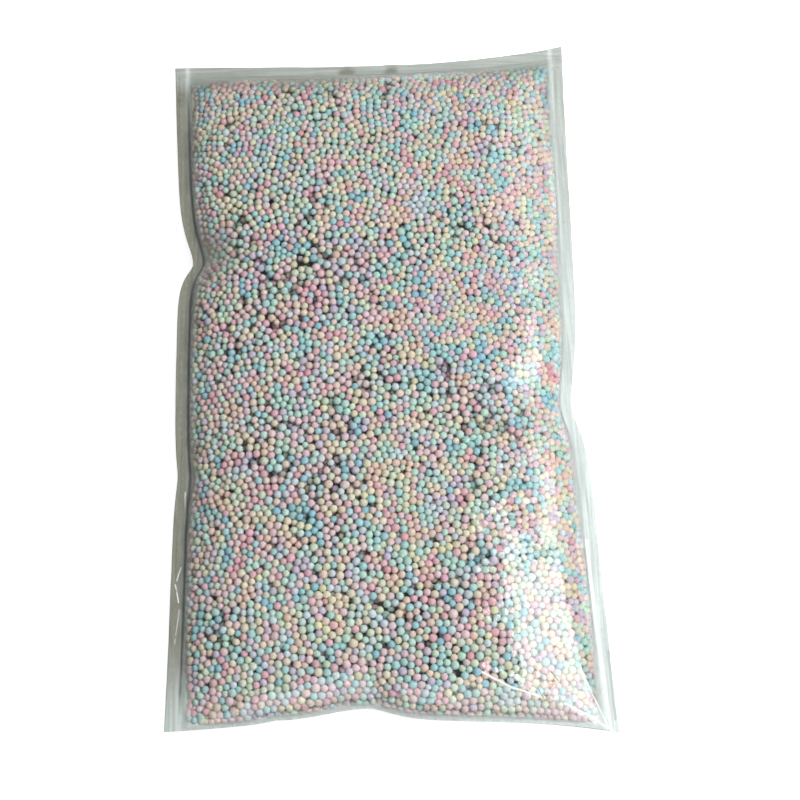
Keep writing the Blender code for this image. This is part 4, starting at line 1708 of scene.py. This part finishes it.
@dataclass
class SeamDots:
    """The row of oval blisters that the sealing wheel pressed into each side flange."""

    form: BagForm
    bag: FilmBag
    # The dots' cloud, with its own painted shade and painted light colours.
    finish: ClearFilm = ClearFilm(
        name="pressed_polypropylene_film", painted_shade_haze="#929386", painted_light_haze="#D4DEDB", haze_strength=1.0,
    )
    pitch: float = 3.4 * MM
    length: float = 2.1 * MM
    width: float = 1.45 * MM
    height: float = 0.36 * MM
    share_across: float = 0.45
    segments: int = 8
    rings: int = 4

    def row_tree(self) -> bpy.types.NodeTree:
        """Builds the node tree that sets ovals along each line, at a pitch and turned to follow it."""
        tree = new_node_group("seam_dot_row", (
            ("Pitch", "Float"), ("Length", "Float"), ("Width", "Float"), ("Height", "Float"),
            ("Segments", "Int"), ("Rings", "Int"), ("Finish", "Material"),
        ))
        given = add_node(tree, "NodeGroupInput").outputs
        line = add_node(tree, "GeometryNodeMeshToCurve", {"Mesh": given["Geometry"]})
        spaced = add_node(tree, "GeometryNodeResampleCurve", {
            "Curve": line.outputs[0], "Length": given["Pitch"],
        }, mode="LENGTH")
        heading = add_node(tree, "GeometryNodeInputTangent")
        turned = add_node(tree, "FunctionNodeAlignRotationToVector", {
            "Vector": heading.outputs[0],
        }, axis="X")
        size = add_node(tree, "ShaderNodeCombineXYZ", {
            "X": given["Length"], "Y": given["Width"], "Z": given["Height"],
        })
        oval = add_node(tree, "GeometryNodeMeshUVSphere", {
            "Segments": given["Segments"], "Rings": given["Rings"], "Radius": 0.5,
        })
        placed = add_node(tree, "GeometryNodeInstanceOnPoints", {
            "Points": spaced.outputs[0], "Instance": oval.outputs["Mesh"],
            "Rotation": turned.outputs[0], "Scale": size.outputs[0],
        })
        end_node_group(tree, placed.outputs[0], given["Finish"])
        return tree

    def build(self) -> bpy.types.Object:
        """Makes both rows of dots as one piece and returns it."""
        form = self.form
        along = np.arange(form.fold + 2.0 * self.pitch, form.length - form.top_seal, 0.5 * self.pitch)
        inset = self.share_across * form.side_seam
        points, edges = [], []
        for place in (inset, form.width - inset):
            across = np.full_like(along, place)
            x, y, upper, lower = form.skins(across, along)
            level = (upper + lower) / 2.0 + self.bag.ripple(across, along)
            start = len(points)
            points += np.stack([x, y, level], axis=-1).tolist()
            edges += [(start + number, start + number + 1) for number in range(len(along) - 1)]
        mesh = bpy.data.meshes.new("seam_dots_lines")
        mesh.from_pydata(points, edges, [])
        piece = grow_piece("seam_dots", mesh, self.row_tree(), {
            "Pitch": self.pitch, "Length": self.length, "Width": self.width, "Height": self.height,
            "Segments": self.segments, "Rings": self.rings, "Finish": self.finish.material(),
        })
        corners = np.empty(3 * len(piece.data.vertices), np.float32)
        piece.data.vertices.foreach_get("co", corners)
        x, y, _ = corners.reshape(-1, 3).T
        store(piece.data, "haze", np.ones(len(x)))
        # The dots take the painted light and shade of the film round them.
        store(piece.data, "painted_light_side",
              HazePlan(form).painted_light_share(x + form.width / 2.0, y + form.length / 2.0))
        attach(piece, BODY)
        return piece


class Purpose(Enum):
    """What a lamp is for: to light what is matte, or to be mirrored in what is glossy."""

    LIGHT = "light"
    REFLECTION = "reflection"


@dataclass(frozen=True)
class SoftBox:
    """A rectangular studio lamp that faces a point."""

    name: str
    place: tuple[float, float, float]
    towards: tuple[float, float, float]
    width: float
    height: float
    radiance: float
    purpose: Purpose

    def build(self) -> bpy.types.Object:
        """Makes the lamp, with the power that gives its radiance over its area."""
        lamp = bpy.data.lights.new(self.name, "AREA")
        lamp.shape = "RECTANGLE"
        lamp.size = self.width
        lamp.size_y = self.height
        lamp.energy = self.radiance * math.pi * self.width * self.height
        holder = bpy.data.objects.new(self.name, lamp)
        holder.location = self.place
        aim = Vector(self.towards) - Vector(self.place)
        holder.rotation_mode = "QUATERNION"
        holder.rotation_quaternion = aim.to_track_quat("-Z", "Y")
        holder.visible_camera = False
        holder.visible_glossy = self.purpose is not Purpose.LIGHT
        holder.visible_diffuse = self.purpose is not Purpose.REFLECTION
        bpy.context.scene.collection.objects.link(holder)
        return holder


@dataclass
class Studio:
    """A plain white floor, soft lamps and a camera at the photograph's angle."""

    floor_size: float = 4.0
    floor_drop: float = 0.3 * MM
    floor_colour: str = "#F4F4F2"
    floor_glow: float = 0.8
    room_colour: str = "#F1F3F5"
    room_strength: float = 0.18
    room_glow: float = 1.15
    azimuth: float = -92.0
    elevation: float = 65.0
    distance: float = 0.746
    target: tuple[float, float, float] = (7.46 * MM, -14.08 * MM, 8.0 * MM)
    lens: float = 88.2
    sensor: float = 36.0
    lamps: tuple[SoftBox, ...] = (
        SoftBox("key", (0.50, 0.03, 0.86), (0.0, 0.0, 0.02), 0.6, 0.45, 10.8, Purpose.LIGHT),
        SoftBox("window", (0.96, -0.35, 0.9), (0.96, -0.35, 0.0), 1.2, 1.3, 4.8, Purpose.REFLECTION),
        SoftBox("window_top", (1.25, 0.46, 0.9), (1.25, 0.46, 0.0), 0.7, 0.32, 3.2, Purpose.REFLECTION),
        SoftBox("window_light", (0.50, -0.62, 0.60), (0.0, 0.0, 0.02), 0.6, 0.6, 2.5, Purpose.LIGHT),
        SoftBox("pale_wall", (0.95, 0.62, 0.66), (0.0, 0.0, 0.02), 1.2, 0.8, 0.8, Purpose.REFLECTION),
        SoftBox("near_wall", (0.20, -1.25, 0.80), (0.0, 0.0, 0.02), 1.4, 0.8, 1.4, Purpose.REFLECTION),
    )

    def build(self) -> None:
        """Makes the floor, the room light, the lamps and the camera."""
        self.make_floor()
        self.make_room()
        for lamp in self.lamps:
            lamp.build()
        self.make_camera()
        bpy.context.scene.view_settings.view_transform = "Standard"

    def make_floor(self) -> bpy.types.Object:
        """Makes the floor: matte paper, white to the camera but still shaded by the bag."""
        half = self.floor_size / 2.0
        corners = np.array([(-half, -half, 0.0), (half, -half, 0.0), (half, half, 0.0), (-half, half, 0.0)])
        corners[:, 2] = -self.floor_drop
        material, tree = new_material("white_paper_floor")
        paper = add_node(tree, "ShaderNodeBsdfDiffuse", {"Color": linear(self.floor_colour)})
        path = add_node(tree, "ShaderNodeLightPath").outputs
        seen = add_node(tree, "ShaderNodeMath", {0: path["Is Camera Ray"], 1: path["Is Glossy Ray"]},
                        operation="MAXIMUM")
        seen = add_node(tree, "ShaderNodeMath", {0: seen.outputs[0], 1: path["Is Transmission Ray"]},
                        operation="MAXIMUM")
        strength = add_node(tree, "ShaderNodeMath", {0: seen.outputs[0], 1: self.floor_glow},
                            operation="MULTIPLY")
        glow = add_node(tree, "ShaderNodeEmission", {"Strength": strength.outputs[0]})
        both = add_node(tree, "ShaderNodeAddShader", {0: paper.outputs[0], 1: glow.outputs[0]})
        add_node(tree, "ShaderNodeOutputMaterial", {"Surface": both.outputs[0]})
        floor = make_piece("floor", corners, [[0, 1, 2, 3]], material)
        return floor

    def make_room(self) -> None:
        """Lights everything evenly with a pale room, which is white to the camera."""
        world = bpy.data.worlds.new("pale_room")
        world.use_nodes = True
        tree = world.node_tree
        tree.nodes.clear()
        path = add_node(tree, "ShaderNodeLightPath").outputs
        seen = add_node(tree, "ShaderNodeMath", {0: path["Is Camera Ray"], 1: path["Is Transmission Ray"]},
                        operation="MAXIMUM")
        strength = add_node(tree, "ShaderNodeMapRange", {
            "Value": seen.outputs[0], "To Min": self.room_strength, "To Max": self.room_glow,
        })
        sky = add_node(tree, "ShaderNodeBackground", {
            "Color": linear(self.room_colour), "Strength": strength.outputs[0],
        })
        add_node(tree, "ShaderNodeOutputWorld", {"Surface": sky.outputs[0]})
        bpy.context.scene.world = world

    def make_camera(self) -> bpy.types.Object:
        """Makes the camera that looks down on the bag as in the photograph."""
        data = bpy.data.cameras.new("camera")
        data.lens = self.lens
        data.sensor_width = self.sensor
        camera = bpy.data.objects.new("camera", data)
        turn, rise = math.radians(self.azimuth), math.radians(self.elevation)
        back = Vector((math.cos(rise) * math.cos(turn), math.cos(rise) * math.sin(turn), math.sin(rise)))
        camera.location = Vector(self.target) + back * self.distance
        camera.rotation_mode = "QUATERNION"
        camera.rotation_quaternion = (-back).to_track_quat("-Z", "Y")
        bpy.context.scene.collection.objects.link(camera)
        bpy.context.scene.camera = camera
        return camera


def main() -> None:
    """Builds the bag, its beads and the studio."""
    form = BagForm()
    bag = FilmBag(form)
    film = bag.build()
    log.info("%s: %d triangles", film.name, count_triangles(film.data))
    dots = SeamDots(form, bag).build()
    log.info("%s: %d triangles", dots.name, count_triangles(dots.data))
    fill = BeadFill(form, BeadPacking(form))
    for piece in fill.build(film):
        log.info("%s: %d triangles", piece.name, count_triangles(piece.data))
    Studio().build()


if __name__ == "__main__":
    main()
